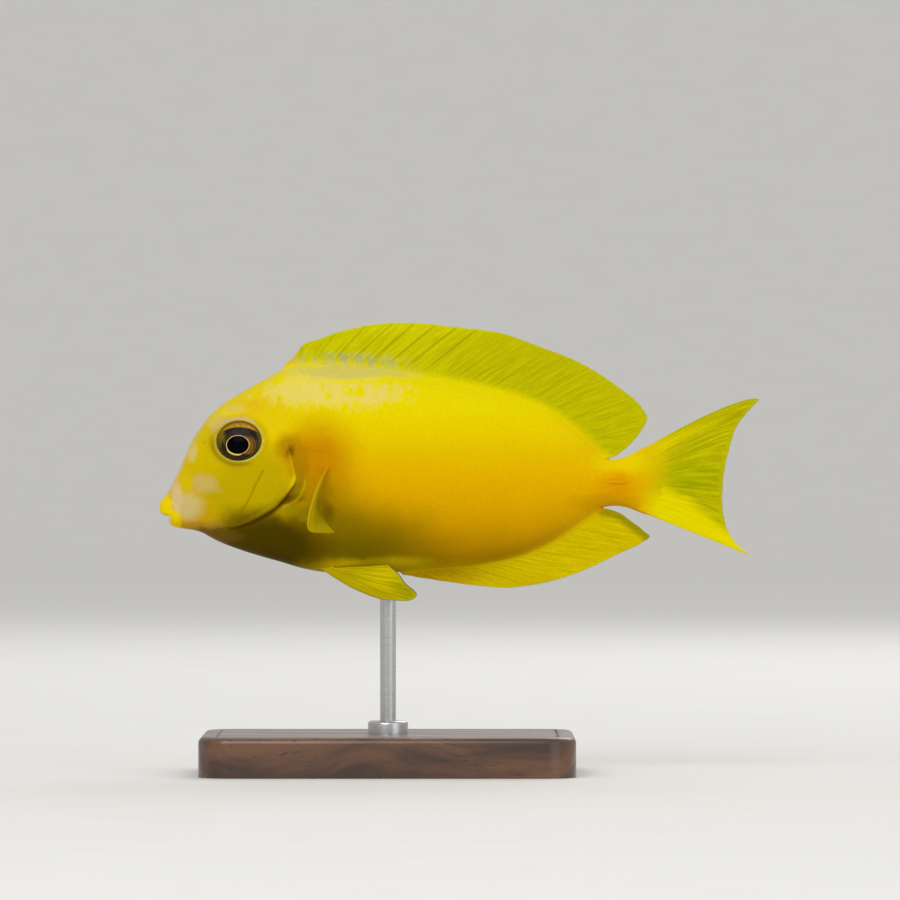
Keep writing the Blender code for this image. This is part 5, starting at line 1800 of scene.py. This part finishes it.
# %% Materials of the stand
wood_finish, tree, shader = new_material("walnut")
place = add(tree, "ShaderNodeTexCoord").outputs["Object"]
bent = noise(tree, place, 26.0, 2.0, 0.5, "Color")
bent = vector_maths(tree, "MULTIPLY_ADD", bent, (0.0, 0.02, 0.02), place)
lengthwise = vector_maths(tree, "MULTIPLY", bent, (22.0, 260.0, 260.0))
bands = noise(tree, lengthwise, 1.0, 3.0, 0.6)
pore_place = vector_maths(tree, "MULTIPLY", bent, (300.0, 4200.0, 4200.0))
pores = ramp(tree, noise(tree, pore_place, 1.0, 2.0, 0.5), 0.6, 0.72)
colour = mix(tree, ramp(tree, bands, 0.3, 0.7), paint(58, 36, 24), paint(112, 74, 48))
colour = mix(tree, maths(tree, "MULTIPLY", pores, 0.7), colour, paint(32, 20, 14))
tree.links.new(colour, shader.inputs["Base Color"])
tree.links.new(ramp(tree, bands, 0.3, 0.7, 0.42, 0.3), shader.inputs["Roughness"])
raise_surface(tree, shader, pores, 0.3, 0.04, invert=True)
set_values(shader, Coat_Weight=0.4, Coat_Roughness=0.15)

steel_finish, tree, shader = new_material("brushed_steel")
place = add(tree, "ShaderNodeTexCoord").outputs["Object"]
brushed = vector_maths(tree, "MULTIPLY", place, (300.0, 300.0, 9000.0))
scratches = noise(tree, brushed, 1.0, 3.0, 0.6)
tree.links.new(mix(tree, scratches, paint(176, 177, 180), paint(206, 206, 208)), shader.inputs["Base Color"])
tree.links.new(ramp(tree, scratches, 0.3, 0.7, 0.24, 0.36), shader.inputs["Roughness"])
raise_surface(tree, shader, scratches, 0.2, 0.02)
set_values(shader, Metallic=1.0)
dress(base, wood_finish, "stand_wood", "stand_base")
dress(rod, steel_finish, "stand_steel", "stand_rod")

# %% [markdown]
# ## Floor and light
#
# The fish is looked at from all sides, so the floor is a wide shallow bowl that rises far behind it on
# every side, and no horizon shows. It starts as a disc, whose rim is extruded and widened step by step.
# One large soft lamp from above and in front does the modelling, a weaker one fills the shadows, a third
# lights the far side, and the sky gives the rest.

# %% Floor
MIDDLE_RADIUS, FLOOR_RADIUS, BOWL_RADIUS, BOWL_HEIGHT = 0.3, 1.8, 3.3, 1.6
BOWL_STEPS = 16
deselect()
bpy.ops.mesh.primitive_circle_add(vertices=128, radius=MIDDLE_RADIUS, fill_type="NGON")
floor = bpy.context.object
floor.name = "floor"
select_where(floor, "EDGE", lambda edge: True)
bpy.ops.mesh.extrude_edges_move()
bpy.ops.transform.resize(value=(FLOOR_RADIUS / MIDDLE_RADIUS, FLOOR_RADIUS / MIDDLE_RADIUS, 1))
radius = FLOOR_RADIUS
turn_step = np.pi / 2 / BOWL_STEPS
for quarter in np.linspace(0, np.pi / 2, BOWL_STEPS + 1)[1:]:
    wider = FLOOR_RADIUS + (BOWL_RADIUS - FLOOR_RADIUS) * np.sin(quarter)
    rise = BOWL_HEIGHT * (np.cos(quarter - turn_step) - np.cos(quarter))
    bpy.ops.mesh.extrude_edges_move(TRANSFORM_OT_translate={"value": (0, 0, rise)})
    bpy.ops.transform.resize(value=(wider / radius, wider / radius, 1), center_override=(0, 0, 0))
    radius = wider
bpy.ops.object.mode_set(mode="OBJECT")
bpy.ops.object.shade_smooth()
floor_finish, tree, shader = new_material("pale_floor")
place = add(tree, "ShaderNodeTexCoord").outputs["Object"]
speckle = noise(tree, place, 60.0, 3.0, 0.6)
tree.links.new(mix(tree, speckle, paint(226, 225, 221), paint(232, 231, 228)), shader.inputs["Base Color"])
set_values(shader, Roughness=0.85)
floor.data.materials.append(floor_finish)
print("floor with", len(floor.data.polygons), "faces")


# %% Light
def soft_lamp(name, place, size, watts):
    """A square lamp at a place, turned to the body axis over the middle of the floor."""
    deselect()
    bpy.ops.object.light_add(type="AREA", location=place)
    lamp = bpy.context.object
    lamp.name = name
    lamp.data.shape = "SQUARE"
    lamp.data.size = size
    lamp.data.energy = watts
    to_fish = Vector((0, 0, AXIS_HEIGHT * MM)) - Vector(place)
    lamp.rotation_euler = to_fish.to_track_quat("-Z", "Y").to_euler()


soft_lamp("key", (-0.35, -1.0, 0.75), 0.8, 6.0)
soft_lamp("fill", (0.9, -0.9, 0.4), 0.8, 2.0)
soft_lamp("back", (0.25, 0.7, 0.6), 0.5, 2.0)
world = bpy.data.worlds.new("studio")
world.use_nodes = True
set_values(world.node_tree.nodes["Background"], Color=(1, 1, 1, 1), Strength=0.7)
bpy.context.scene.world = world
bpy.context.scene.view_settings.view_transform = "Standard"
